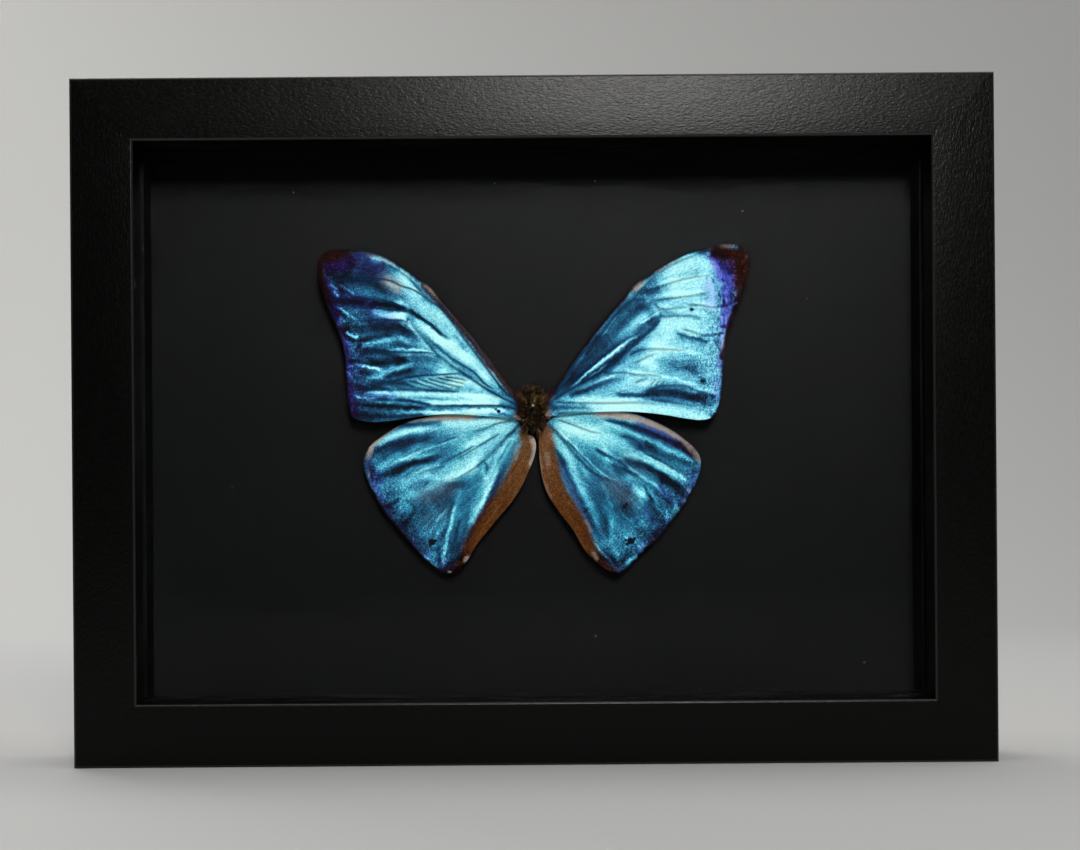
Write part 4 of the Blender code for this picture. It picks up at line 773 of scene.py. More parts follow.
class StageSettings(bpy.types.PropertyGroup):
    """Camera, floor and lights."""

    distance: FloatProperty(name="Camera distance", description="From the camera to the frame's front",
                            default=480 * MM, unit="LENGTH")
    camera_x: FloatProperty(name="Camera place", description="The camera's place along the frame",
                            default=-8.5 * MM, unit="LENGTH")
    camera_z: FloatProperty(name="Camera height", description="Height of the camera above the floor",
                            default=46.3 * MM, unit="LENGTH")
    lens: FloatProperty(name="Lens", description="Focal length in millimetres", default=75.2, min=1)
    roll: FloatProperty(name="Roll", description="The camera's tilt about its own line of sight",
                        default=math.radians(0.43), subtype="ANGLE")
    key_rise: FloatProperty(name="Main light's rise", description="Angle of the main light above the horizon",
                            default=math.radians(22), subtype="ANGLE")
    key_power: FloatProperty(name="Main light", description="Power of the main light in watts", default=5.6)
    floor: FloatVectorProperty(name="Floor colour", description="Colour of the floor and the wall behind",
                               default=(0.62, 0.615, 0.60), subtype="COLOR")


# ---------------------------------------------------------------- materials
class Value:
    """A number that varies over a surface, for use in Python expressions."""

    def __init__(self, finish, socket):
        self.finish = finish
        self.socket = socket

    def __add__(self, other):
        return self.finish.math("ADD", self, other)

    def __sub__(self, other):
        return self.finish.math("SUBTRACT", self, other)

    def __rsub__(self, other):
        return self.finish.math("SUBTRACT", other, self)

    def __mul__(self, other):
        return self.finish.math("MULTIPLY", self, other)

    __radd__ = __add__
    __rmul__ = __mul__


class Finish:
    """A material under construction."""

    def __init__(self, name):
        self.material = bpy.data.materials.new(name)
        self.material.use_nodes = True
        self.tree = self.material.node_tree
        self.tree.nodes.clear()
        self.place = self.node("TexCoord", output="Object")

    def node(self, kind, settings=None, values=None, output=0):
        """Adds a node: its settings first, then its sockets' values or links. Returns one output."""
        made = self.tree.nodes.new("ShaderNode" + kind)
        for name, value in (settings or {}).items():
            setattr(made, name, value)
        for name, value in (values or {}).items():
            if isinstance(value, Value):
                self.tree.links.new(value.socket, made.inputs[name])
            else:
                made.inputs[name].default_value = value
        return Value(self, made.outputs[output])

    def math(self, operation, first, second):
        return self.node("Math", {"operation": operation}, {0: first, 1: second})

    def limit(self, value):
        return self.node("Clamp", values={"Value": value})

    def ramp(self, value, stops):
        """Colours along a value: stops are (place, colour)."""
        made = self.tree.nodes.new("ShaderNodeValToRGB")
        points = made.color_ramp.elements
        while len(points) < len(stops):
            points.new(0.5)
        for point, (place, colour) in zip(points, stops):
            point.position = place
            point.color = (*colour, 1)
        self.tree.links.new(value.socket, made.inputs[0])
        return Value(self, made.outputs[0])

    def step(self, value, low, high):
        """0 below low, 1 above high, smooth between; low may be the larger."""
        return self.node("MapRange", {"interpolation_type": "SMOOTHSTEP"},
                         {"Value": value, "From Min": low, "From Max": high})

    def mix(self, factor, first, second):
        """Blends two colours."""
        sides = {0: factor}
        for index, colour in ((6, first), (7, second)):
            sides[index] = colour if isinstance(colour, Value) else (*colour, 1)
        return self.node("Mix", {"data_type": "RGBA"}, sides, output=2)

    def stretched(self, scale, source=None, turn=(0, 0, 0)):
        """Coordinates scaled along each axis."""
        return self.node("Mapping", values={"Vector": source or self.place, "Scale": scale,
                                            "Rotation": turn})

    def noise(self, scale, detail=3.0, roughness=0.5, source=None, distortion=0.0):
        """Fractal noise of about 1/scale metres a wave."""
        return self.node("TexNoise", values={"Vector": source or self.place, "Scale": scale, "Detail": detail,
                                             "Roughness": roughness, "Distortion": distortion})

    def drawn(self, along, lengthwise, crosswise, detail, roughness, distortion=0.0):
        """Noise drawn out along one axis, with so many waves a metre along it and across it."""
        scale = tuple(lengthwise if axis == along else crosswise for axis in "xyz")
        return self.noise(1.0, detail, roughness, self.stretched(scale), distortion)

    def attribute(self, name):
        return self.node("Attribute", {"attribute_name": name}, output="Fac")

    def bump(self, height, distance, strength=1.0, normal=None):
        values = {"Height": height, "Distance": distance, "Strength": strength}
        if normal:
            values["Normal"] = normal
        return self.node("Bump", values=values)

    def surface(self, **sockets):
        """Ends the material with a Principled shader; spaces in socket names are underscores."""
        return self.close(self.node("BsdfPrincipled", values={
            name.replace("_", " "): value for name, value in sockets.items()}))

    def close(self, shader):
        out = self.tree.nodes.new("ShaderNodeOutputMaterial")
        self.tree.links.new(shader.socket, out.inputs["Surface"])
        return self.material


# Colours that no setting changes
FOIL_DUST = (0.10, 0.10, 0.095)
CARD_DUST = (0.07, 0.075, 0.075)
FLAKE_DARK = (0.16, 0.17, 0.17)
FLAKE_LIGHT = (0.42, 0.42, 0.41)
GLASS_TINT = (0.985, 0.995, 0.99, 1)
GLASS_SHADOW = (0.97, 0.98, 0.975, 1)
VEIN_BLUE = (0.0006, 0.016, 0.058)
PLUM = (0.075, 0.022, 0.060)
PIN_STEEL = (0.34, 0.31, 0.26)


def tint(colour, factor):
    return tuple(min(1.0, channel * factor) for channel in colour)


def foil_finish(settings, name, along):
    """Satin black foil with a fine, short grain along one axis, and paler front edges that are a painted
    highlight.
    """
    finish = Finish(name)
    fine = finish.drawn(along, 1000, 2300, 2, 0.5, 0.7)
    figure = finish.drawn(along, 110, 420, 3, 0.55, 0.8)
    pores = finish.step(finish.drawn(along, 260, 2600, 2, 0.5), 0.62, 0.76)
    dust = finish.step(finish.noise(3400, 2, 0.5), 0.72, 0.80)
    wear = finish.noise(160, 4, 0.6)
    grain = fine * 0.6 + figure * 0.5
    colour = finish.mix(grain, tint(settings.foil, 0.6), tint(settings.foil, 1.5))
    colour = finish.mix(dust * 0.18, colour, FOIL_DUST)
    # Painted highlight: the rounded front edges are painted paler and made half metal
    colour = finish.mix(finish.limit(finish.attribute("edge") * (0.5 + fine)), colour, settings.edge_highlight)
    return finish.surface(
        Base_Color=colour,
        Metallic=finish.attribute("edge") * 0.5,
        Roughness=0.138 + fine * 0.115 + wear * 0.04 + pores * 0.04,
        Specular_IOR_Level=0.125,
        Normal=finish.bump(fine - pores * 0.1, 0.036 * MM, 0.9, finish.bump(figure, 0.04 * MM, 0.3)),
    )


def card_finish(settings, name):
    """Matt black card: paper fibres, faint scuffs and a little dust."""
    finish = Finish(name)
    fibres = finish.noise(2200, 4, 0.65, distortion=1.5)
    cloud = finish.noise(26, 3, 0.5)
    dust = finish.step(finish.noise(1500, 1, 0.4), 0.80, 0.84)
    colour = finish.mix(cloud, tint(settings.card, 0.8), tint(settings.card, 1.3))
    colour = finish.mix(fibres * 0.35, colour, tint(settings.card, 2.0))
    colour = finish.mix(dust * 0.4, colour, CARD_DUST)
    return finish.surface(
        Base_Color=colour,
        Roughness=0.36 + cloud * 0.07,
        Specular_IOR_Level=0.055,
        Normal=finish.bump(fibres, 0.03 * MM, 0.8),
    )


def dust_finish(name):
    """Grey household dust."""
    finish = Finish(name)
    tone = finish.noise(4000, 2)
    return finish.surface(Base_Color=finish.mix(tone, FLAKE_DARK, FLAKE_LIGHT), Roughness=0.9)


def glass_finish(name):
    """Clear, thin picture glass that lets the lamps through."""
    finish = Finish(name)
    wave = finish.noise(22, 2, 0.4)
    pane = finish.node("BsdfPrincipled", values={
        "Base Color": GLASS_TINT, "Roughness": 0.0, "IOR": 1.08, "Transmission Weight": 1.0,
        "Normal": finish.bump(wave, 0.01 * MM, 0.2)})
    clear = finish.node("BsdfTransparent", values={"Color": GLASS_SHADOW})
    shadow = finish.node("LightPath", output="Is Shadow Ray")
    return finish.close(finish.node("MixShader", values={0: shadow, 1: pane, 2: clear}))


def fibreboard_finish(settings, name):
    """Hard brown fibreboard with its pressed fibres."""
    finish = Finish(name)
    fibres = finish.noise(900, 5, 0.7, distortion=2.0)
    slanted = finish.stretched((500, 500, 2400), turn=(0, 0.5, 0))
    strands = finish.step(finish.noise(1.0, 3, 0.6, slanted), 0.52, 0.66)
    cloud = finish.noise(35, 3)
    colour = finish.mix(fibres, tint(settings.panel, 0.55), tint(settings.panel, 1.35))
    colour = finish.mix(strands * 0.4, colour, tint(settings.panel, 0.35))
    colour = finish.mix(cloud * 0.35, colour, tint(settings.panel, 0.8))
    return finish.surface(Base_Color=colour, Roughness=0.62 + fibres * 0.2,
                          Normal=finish.bump(fibres + strands * 0.4, 0.06 * MM, 0.8))


def metal_finish(name, colour, roughness, along):
    """Plated sheet metal: rolling lines, dull spots and a little tarnish."""
    finish = Finish(name)
    lines = finish.drawn(along, 150, 6000, 3, 0.6)
    spots = finish.noise(420, 4, 0.6)
    tarnish = finish.step(spots, 0.56, 0.74)
    shade = finish.mix(tarnish * 0.6, colour, tint(colour, 0.45))
    return finish.surface(Base_Color=finish.mix(lines * 0.3, shade, tint(colour, 0.7)), Metallic=1.0,
                          Roughness=roughness + lines * 0.12 + tarnish * 0.22,
                          Normal=finish.bump(lines, 0.008 * MM, 0.6))


def wing_finish(settings, name):
    """Metallic blue scales, with painted highlight on the crests of the folds and painted shade in them, and
    brown, violet and pale fields.
    """
    finish = Finish(name)
    vane = finish.node("UVMap", {"uv_map": "vane"})
    margin = finish.attribute("margin")
    streaks, strands, ripples, dashes = (
        finish.noise(1.0, 3, 0.6, finish.stretched((outwards, across, 1), vane), distortion)
        for outwards, across, distortion in ((7, 150, 0.3), (5, 64, 0.25), (26, 46, 0.8), (120, 34, 1.4)))
    scales = finish.noise(4600, 3, 0.8)
    specks = finish.noise(2100, 2, 0.6)
    mottle = finish.noise(700, 3, 0.6)
    cloud = finish.noise(160, 3, 0.55)

    # The lightness attribute holds the wing's own tone with painted highlight and painted shade along its
    # folds; the ramps below turn it into colour
    varied = finish.attribute("shine") + (streaks - 0.5) * 0.34 + (strands - 0.5) * 0.24
    varied = varied + (ripples - 0.5) * 0.20
    varied = varied + (scales - 0.5) * 1.40 + (specks - 0.5) * (0.48 + margin * 0.6) + (mottle - 0.5) * 0.22
    varied = varied + (dashes - 0.5) * margin * 1.5
    light = finish.limit(varied * 0.8)
    blues = finish.ramp(light, (
        (0.0, settings.night), (0.24, settings.deep), (0.44, settings.blue),
        (0.62, settings.cyan), (0.82, settings.bright), (1.0, settings.glare)))
    greens = finish.ramp(light, (
        (0.0, (0.004, 0.008, 0.014)), (0.24, (0.009, 0.054, 0.112)), (0.44, (0.018, 0.160, 0.285)),
        (0.62, (0.070, 0.460, 0.590)), (0.82, (0.36, 0.84, 0.88)), (1.0, settings.glare)))
    violets = finish.ramp(light, (
        (0.0, (0.006, 0.002, 0.018)), (0.28, (0.014, 0.0075, 0.085)), (0.55, (0.046, 0.078, 0.48)),
        (1.0, (0.30, 0.40, 1.0))))
    browns = finish.ramp(light, (
        (0.0, (0.004, 0.001, 0.001)), (0.22, (0.020, 0.003, 0.002)), (0.46, (0.084, 0.027, 0.003)),
        (0.70, (0.21, 0.110, 0.055)), (1.0, (0.42, 0.32, 0.25))))
    pales = finish.ramp(light, (
        (0.0, (0.06, 0.045, 0.040)), (0.40, (0.21, 0.165, 0.145)),
        (0.8, (0.45, 0.38, 0.34)), (1.0, (0.62, 0.56, 0.53))))
    violet = finish.attribute("violet")
    brown = finish.attribute("brown")
    pale = finish.attribute("pale")
    vein = finish.attribute("vein")
    green = finish.limit(finish.attribute("green") + (cloud - 0.5) * 1.6 + (mottle - 0.5) * 0.8)
    colour = finish.mix(green, blues, greens)
    plum = finish.step(specks, 0.56, 0.66) * finish.limit(violet * 1.2) * 0.5
    colour = finish.mix(finish.limit(violet * (0.60 + specks * 1.1)), colour, violets)
    colour = finish.mix(plum, colour, PLUM)
    colour = finish.mix(brown, colour, browns)
    colour = finish.mix(pale, colour, pales)
    colour = finish.mix(vein, colour, VEIN_BLUE)
    scaly = (1 - brown) * (1 - pale)
    return finish.surface(
        Base_Color=colour,
        Metallic=scaly * (1 - vein) * 0.3,
        Roughness=0.62 - scaly * 0.06 + specks * 0.1,
        Specular_IOR_Level=0.02,
        Normal=finish.bump(scales * 0.5 + streaks + ripples * 0.6, 0.05 * MM, 0.6),
    )


def hair_finish(settings, name):
    """Insect hair, from black over brown and olive to cream by each hair's own tone."""
    finish = Finish(name)
    tone = finish.attribute("tone")
    along = finish.noise(1800, 2)
    colour = finish.ramp(finish.limit(tone + (along - 0.5) * 0.08), (
        (0.0, settings.dark), (0.30, settings.brown), (0.45, (0.110, 0.072, 0.018)),
        (0.62, (0.080, 0.010, 0.008)), (0.80, (0.30, 0.20, 0.12)), (1.0, (0.62, 0.52, 0.54))))
    return finish.surface(Base_Color=colour, Roughness=0.5 + along * 0.2, Specular_IOR_Level=0.14)


def stage_finish(settings, name):
    """The pale floor and wall."""
    finish = Finish(name)
    cloud = finish.noise(3, 2)
    colour = finish.mix(cloud, tint(settings.floor, 0.98), settings.floor)
    return finish.surface(Base_Color=colour, Roughness=0.85, Specular_IOR_Level=0.2)


# ---------------------------------------------------------------- modelling helpers
def clear_choice():
    """Leaves nothing selected, in object mode."""
    if bpy.context.object and bpy.context.object.mode != "OBJECT":
        bpy.ops.object.mode_set(mode="OBJECT")
    bpy.ops.object.select_all(action="DESELECT")


def new_piece(name):
    """Names the primitive that was just added and puts its size and place into its mesh."""
    piece = bpy.context.object
    piece.name = name
    piece.data.name = name
    bpy.ops.object.transform_apply(location=True, rotation=True, scale=True)
    return piece


def add_block(name, low, high):
    clear_choice()
    low, high = Vector(low), Vector(high)
    bpy.ops.mesh.primitive_cube_add(size=1, location=(low + high) / 2, scale=high - low)
    return new_piece(name)


def choose(piece, kind, test):
    """In edit mode, selects only the vertices, edges or faces that pass the test."""
    bpy.ops.mesh.select_mode(type=kind)
    bpy.ops.mesh.select_all(action="DESELECT")
    shape = bmesh.from_edit_mesh(piece.data)
    for item in {"VERT": shape.verts, "EDGE": shape.edges, "FACE": shape.faces}[kind]:
        item.select_set(test(item))
    shape.select_flush_mode()
    bmesh.update_edit_mesh(piece.data)


def near(a, b):
    return abs(a - b) < 0.01 * MM


def on_line(edge, **places):
    """True where both ends of the edge have the given x, y or z."""
    return all(near(getattr(vertex.co, axis), place)
               for vertex in edge.verts for axis, place in places.items())


def bevel_edges(piece, test, radius, segments=3):
    choose(piece, "EDGE", test)
    bpy.ops.mesh.bevel(offset=radius, segments=segments, affect="EDGES", clamp_overlap=True)


def apply_modifier(piece, kind, **settings):
    modifier = piece.modifiers.new(kind.lower(), kind)
    for name, value in settings.items():
        setattr(modifier, name, value)
    bpy.context.view_layer.objects.active = piece
    bpy.ops.object.modifier_apply(modifier=modifier.name)


def smooth(piece, angle=35):
    clear_choice()
    piece.select_set(True)
    bpy.context.view_layer.objects.active = piece
    bpy.ops.object.shade_smooth_by_angle(angle=math.radians(angle))


def copy_piece(piece, name, matrix):
    """A copy with its own mesh, placed by the matrix in that mesh."""
    twin = piece.copy()
    twin.data = piece.data.copy()
    twin.name = name
    twin.data.name = name
    twin.data.transform(matrix)
    bpy.context.scene.collection.objects.link(twin)
    return twin


def turn_about(centre, angle):
    """A turn about the line through the centre along Y."""
    centre = Vector(centre)
    return Matrix.Translation(centre) @ Matrix.Rotation(angle, 4, "Y") @ Matrix.Translation(-centre)


def store(mesh, **fields):
    """Keeps each field as an attribute of the mesh's points, for its material."""
    for name, values in fields.items():
        mesh.attributes.new(name, "FLOAT", "POINT").data.foreach_set("value", values.astype(np.float32))


def deliver(piece, slot, material, *nodes):
    """Gives a finished piece its material and body, and hides the CAD nodes that it stands for; the slot is
    not used.
    """
    if not piece.data.materials:
        piece.data.materials.append(material)
    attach(piece, "root")
    if nodes:
        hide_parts(*nodes)


def dress_node(node, material):
    """Gives a CAD node a finer material."""
    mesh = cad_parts[node].data
    mesh.materials.clear()
    mesh.materials.append(material)


def join_pieces(pieces, name):
    clear_choice()
    for piece in pieces:
        piece.select_set(True)
    bpy.context.view_layer.objects.active = pieces[0]
    bpy.ops.object.join()
    pieces[0].name = name
    return pieces[0]


# ---------------------------------------------------------------- the moulding
# The band of painted highlight on a rounded edge: how far from the edge's line it goes, as shares of the
# radius
HIGHLIGHT_ACROSS = 0.95
HIGHLIGHT_BACK = 0.8
HIGHLIGHT_START = 0.02 * MM  # behind the face


def model_rail(name, half_length, reach, settings):
    """The top rail of a frame whose middle is MIDDLE, reach below the rail's outer edge."""
    outer = MIDDLE + reach
    inner = outer - FACE_WIDTH
    wall = outer - WALL
    lip_back = FRONT + LIP_DEPTH
    rail = add_block(name, (-half_length, FRONT, inner), (half_length, lip_back, outer))
    bpy.ops.object.mode_set(mode="EDIT")
    bpy.ops.mesh.select_all(action="SELECT")
    bpy.ops.mesh.bisect(plane_co=(0, 0, wall), plane_no=(0, 0, 1))
    choose(rail, "FACE", lambda face: face.normal.y > 0.9 and face.calc_center_median().z > wall)
    bpy.ops.mesh.extrude_region_move(TRANSFORM_OT_translate={"value": (0, BACK - lip_back, 0)})
    choose(rail, "VERT", lambda vertex: near(vertex.co.y, FRONT) and near(vertex.co.z, outer))
    bpy.ops.transform.translate(value=(0, settings.slope, 0))
    for side in (-1, 1):
        corner = (side * (half_length - settings.mitre_gap / 2), 0, outer)
        bpy.ops.mesh.select_all(action="SELECT")
        bpy.ops.mesh.bisect(plane_co=corner, plane_no=(side, 0, -1), clear_outer=True, use_fill=True)
    front = {inner: FRONT, outer: FRONT + settings.slope}
    bevel_edges(rail, lambda edge: any(on_line(edge, z=z, y=y) for z, y in front.items()), settings.edge, 4)
    bevel_edges(rail, lambda edge: on_line(edge, z=inner, y=lip_back) or on_line(edge, z=wall, y=BACK)
                or on_line(edge, z=outer, y=BACK), settings.edge / 2, 2)
    bpy.ops.object.mode_set(mode="OBJECT")
    smooth(rail)
    apply_modifier(rail, "WEIGHTED_NORMAL", keep_sharp=True)
    # The vertices of the rounded front edges, which carry the painted highlight
    edge_highlight = [any(abs(vertex.co.z - z) < HIGHLIGHT_ACROSS * settings.edge
                and HIGHLIGHT_START < vertex.co.y - y < HIGHLIGHT_BACK * settings.edge for z, y in front.items())
            for vertex in rail.data.vertices]
    store(rail.data, edge=np.array(edge_highlight))
    return rail


class SPECIMEN_OT_moulding(bpy.types.Operator):
    """Models the four mitred rails of the frame"""

    bl_idname = "specimen.moulding"
    bl_label = "Moulding"

    def execute(self, context):
        settings = context.scene.specimen_frame
        half_height = (HIGH.z - LOW.z) / 2
        middle = (0, 0, MIDDLE)
        lying = foil_finish(settings, "foil_lying", "x")
        standing = foil_finish(settings, "foil_standing", "z")
        top = model_rail("moulding_top", HIGH.x, half_height, settings)
        bottom = copy_piece(top, "moulding_bottom", turn_about(middle, math.pi))
        upright = model_rail("moulding_right", half_height, HIGH.x, settings)
        left = copy_piece(upright, "moulding_left", turn_about(middle, -math.pi / 2))
        upright.data.transform(turn_about(middle, math.pi / 2))
        for piece, material in ((top, lying), (bottom, lying), (left, standing), (upright, standing)):
            deliver(piece, "frame_foil", material, piece.name.replace("moulding", "rail"))
        return {"FINISHED"}


# ---------------------------------------------------------------- glass and boards
class SPECIMEN_OT_glass(bpy.types.Operator):
    """Gives the picture glass its clear, faintly wavy material"""

    bl_idname = "specimen.glass"
    bl_label = "Glass"

    def execute(self, context):
        dress_node("glass_pane", glass_finish("picture_glass"))
        return {"FINISHED"}


# dust on the board: across from the frame's middle, up from its foot, and size, in mm
FLAKES = (
    (47.2, 121.0, 0.34), (73.6, 20.2, 0.26), (13.8, 26.5, 0.30), (14.4, 127.9, 0.24), (-52.8, 125.9, 0.26),
    (-8.0, 127.6, 0.20), (61.5, 101.4, 0.16), (-67.0, 60.2, 0.18), (36.9, 14.6, 0.15),
)


def model_dust(rng):
    """Flakes of dust that lie against the board, as one piece."""
    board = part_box("mount_board")[0].y
    flakes = []
    for x, z, size in FLAKES:
        clear_choice()
        place = (x * MM, board - 0.2 * size * MM, z * MM)
        bpy.ops.mesh.primitive_ico_sphere_add(subdivisions=2, radius=0.75 * size * MM, location=place,
                                              scale=(1, 0.35, rng.uniform(0.5, 1.0)))
        flake = new_piece("flake")
        bpy.ops.object.mode_set(mode="EDIT")
        bpy.ops.mesh.select_all(action="SELECT")
        bpy.ops.transform.vertex_random(offset=0.12 * size * MM, seed=int(rng.integers(1, 99)))
        bpy.ops.object.mode_set(mode="OBJECT")
        flakes.append(flake)
    return join_pieces(flakes, "dust_flakes")


class SPECIMEN_OT_boards(bpy.types.Operator):
    """Covers the spacers and the mount board with black card and the back with fibreboard"""

    bl_idname = "specimen.boards"
    bl_label = "Boards"

    def execute(self, context):
        settings = context.scene.specimen_frame
        card = card_finish(settings, "black_card")
        for node in ("spacer_top", "spacer_bottom", "spacer_left", "spacer_right", "mount_board"):
            dress_node(node, card)
        dress_node("back_panel", fibreboard_finish(settings, "fibreboard"))
        deliver(model_dust(np.random.default_rng(3)), "black_card", dust_finish("dust"))
        return {"FINISHED"}


# ---------------------------------------------------------------- metal parts at the back
class SPECIMEN_OT_hardware(bpy.types.Operator):
    """Finishes the flat points, the sawtooth hanger and its rivets"""

    bl_idname = "specimen.hardware"
    bl_label = "Hardware"

    def execute(self, context):
        settings = context.scene.specimen_frame
        zinc = metal_finish("zinc_plate", settings.zinc, 0.34, "x")
        brass = metal_finish("brass_plate", settings.brass, 0.28, "x")
        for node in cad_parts:
            if node.startswith("tab_"):
                dress_node(node, zinc)
        for node in ("hanger", "rivet_left", "rivet_right"):
            dress_node(node, brass)
        return {"FINISHED"}


# ---------------------------------------------------------------- wings
# Widths in mm, and places as shares of the way from the root (u) or from the leading edge (v)
WIDE_FOLD = 0.7  # a fold of more than this half width is a swell, and otherwise a crease
DARK_GAIN = 1.12  # a dark fold is this much deeper than a light one
VEIN_GAIN = 1.2
VEIN_LEAST = 0.22
VEIN_TAPER = 0.45
SHADOW_REACH = 0.3  # of the shadow beside a vein
SPOT_SQUASH = 1.15  # a spot is this much wider than high
MARGIN_REACH = 0.16
EDGE_REACH = 0.012
ROOT_REACH = 0.018
NOTCH_DEPTH = 0.010
SIDE_STEPS = 400  # points read along each side of a plate


def smooth_path(points, steps):
    """A Catmull-Rom curve through the points."""
    known = np.array(points, float)
    if len(known) < 3:
        return known
    ends = np.vstack([2 * known[0] - known[1], known, 2 * known[-1] - known[-2]])
    t = np.linspace(0, 1, steps, endpoint=False)[:, None]
    runs = []
    for before, start, end, after in zip(ends, ends[1:], ends[2:], ends[3:]):
        runs.append(0.5 * (2 * start + (end - before) * t
                           + (2 * before - 5 * start + 4 * end - after) * t ** 2
                           + (3 * start - before - 3 * end + after) * t ** 3))
    return np.vstack(runs + [known[-1:]])


def nearest(x, z, path, reach):
    """For places within reach of a path: which they are, how far off it and how far along it, 0 to 1."""
    runs = path[1:] - path[:-1]
    lengths = np.hypot(runs[:, 0], runs[:, 1])
    travelled = np.concatenate([[0], np.cumsum(lengths)])
    close = ((x > path[:, 0].min() - reach) & (x < path[:, 0].max() + reach)
             & (z > path[:, 1].min() - reach) & (z < path[:, 1].max() + reach))
    px, pz = x[close], z[close]
    best = np.full(px.shape, np.inf)
    along = np.zeros(px.shape)
    for start, run, length, before in zip(path, runs, lengths, travelled):
        share = np.clip(((px - start[0]) * run[0] + (pz - start[1]) * run[1]) / max(length ** 2, 1e-9), 0, 1)
        away = np.hypot(px - start[0] - share * run[0], pz - start[1] - share * run[1])
        nearer = away < best
        best[nearer] = away[nearer]
        along[nearer] = (before + share * length)[nearer]
    return close, best, along / travelled[-1]


def stroke(x, z, points, half_width, power=2.0, fade=0.18, taper=0.0):
    """How near each place is to a line through the points: 1 on it, fading out across and at its ends."""
    close, away, share = nearest(x, z, smooth_path(points, 4), 3.2 * half_width)
    across = np.exp(-(away / half_width) ** power) * (1 - taper * share)
    if fade:
        across *= 0.35 + 0.65 * np.sqrt(np.clip(np.minimum(share, 1 - share) / fade, 0, 1))
    weight = np.zeros(x.shape)
    weight[close] = across
    return weight


def inner_field(x, z, side, widths):
    """A field along the wing's inner margin, of the given widths at even places from root to tip."""
    close, away, share = nearest(x, z, side, 2 * max(widths))
    width = np.interp(share, np.linspace(0, 1, len(widths)), widths)
    weight = np.zeros(x.shape)
    weight[close] = 1 / (1 + np.exp(np.clip((away - width) / 0.22, -30, 30)))
    return weight


def plate_outline(node):
    """The outline of a wing's CAD plate, as points (x, z) in order."""
    shape = bmesh.new()
    shape.from_mesh(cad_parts[node].data)
    bmesh.ops.remove_doubles(shape, verts=shape.verts, dist=0.001 * MM)
    front = {face for face in shape.faces if face.normal.y < -0.9}
    rim = [edge for edge in shape.edges if sum(face in front for face in edge.link_faces) == 1]
    following = {}
    for edge in rim:
        for vertex in edge.verts:
            following.setdefault(vertex, []).append(edge.other_vert(vertex))
    start = rim[0].verts[0]
    loop, before, here = [start], None, start
    while True:
        ahead = next(vertex for vertex in following[here] if vertex is not before)
        if ahead is start:
            break
        loop.append(ahead)
        before, here = here, ahead
    outline = np.array([(vertex.co.x, vertex.co.z) for vertex in loop])
    shape.free()
    return outline


def spread(points, count):
    """The points' polyline at count + 1 even places."""
    steps = np.concatenate([[0], np.cumsum(np.hypot(*(points[1:] - points[:-1]).T))])
    places = np.linspace(0, steps[-1], count + 1)
    return np.column_stack([np.interp(places, steps, points[:, axis]) for axis in (0, 1)])


def four_sides(outline, corners):
    """Cuts the outline at its root and tip corners: leading edge, outer margin, trailing edge, root."""
    at = [int(np.argmin(np.hypot(*(outline - corner).T))) for corner in corners]
    count = len(outline)
    if (at[1] - at[0]) % count > (at[3] - at[0]) % count:
        outline = outline[::-1]
        at = [count - 1 - place for place in at]
    sides = []
    for start, end in zip(at, at[1:] + at[:1]):
        length = (end - start) % count
        sides.append(outline[(start + np.arange(length + 1)) % count])
    return sides[0], sides[1], sides[2][::-1], sides[3][::-1]


def coons(sides, u, v):
    """Places (x, z) inside four sides: u from the root to the outer margin, v from the leading edge."""
    leading, outer, trailing, root = (spread(side, SIDE_STEPS) for side in sides)
    steps = np.arange(SIDE_STEPS + 1)

    def read(side, place):
        return np.column_stack([np.interp(place * SIDE_STEPS, steps, side[:, axis]) for axis in (0, 1)])

    u_, v_ = u[:, None], v[:, None]
    ruled = ((1 - v_) * read(leading, u) + v_ * read(trailing, u)
             + (1 - u_) * read(root, v) + u_ * read(outer, v))
    corners = ((1 - u_) * (1 - v_) * leading[0] + u_ * (1 - v_) * leading[-1]
               + (1 - u_) * v_ * trailing[0] + u_ * v_ * trailing[-1])
    return ruled - corners


def wavy_lines(u, v, rng, lines, bend):
    """Fine irregular lines from the root outwards, from -1 to 1."""
    total = np.zeros(u.shape)
    for _ in range(lines):
        pace = rng.uniform(18, 90)
        strength = rng.uniform(0.3, 1)
        bent = v + bend * np.sin(rng.uniform(1, 5) * u + rng.uniform(0, 6))
        total += strength * np.sin(pace * bent + rng.uniform(0, 6))
    return total / lines ** 0.5


def wobble(x, z, rng, size, reach):
    """A smooth random shift of about this reach, in waves of about this size."""
    total = np.zeros(x.shape)
    for _ in range(7):
        angle, pace = rng.uniform(0, math.tau), math.tau / (size * rng.uniform(0.5, 1.6))
        total += np.sin(pace * (x * math.cos(angle) + z * math.sin(angle)) + rng.uniform(0, math.tau))
    return reach * total / 7 ** 0.5


def field(table, x, z, fade=0.0):
    """The strongest of a coloured field's strokes at each place."""
    weight = np.zeros(x.shape)
    for strength, half_width, points in table:
        weight = np.maximum(weight, strength * stroke(x, z, points, half_width, 3.5, fade))
    return weight


def fold_relief_and_painted_shade(wing, x, z):
    """The wing's folds: painted highlight above 0 and painted shade below, which also set the relief."""
    folds = np.zeros(x.shape)
    for strength, half_width, points in wing["folds"]:
        depth = wing["swell" if half_width > WIDE_FOLD else "crease"] * (DARK_GAIN if strength < 0 else 1.0)
        folds += depth * strength * stroke(x, z, points, half_width, 2.4)
    return folds


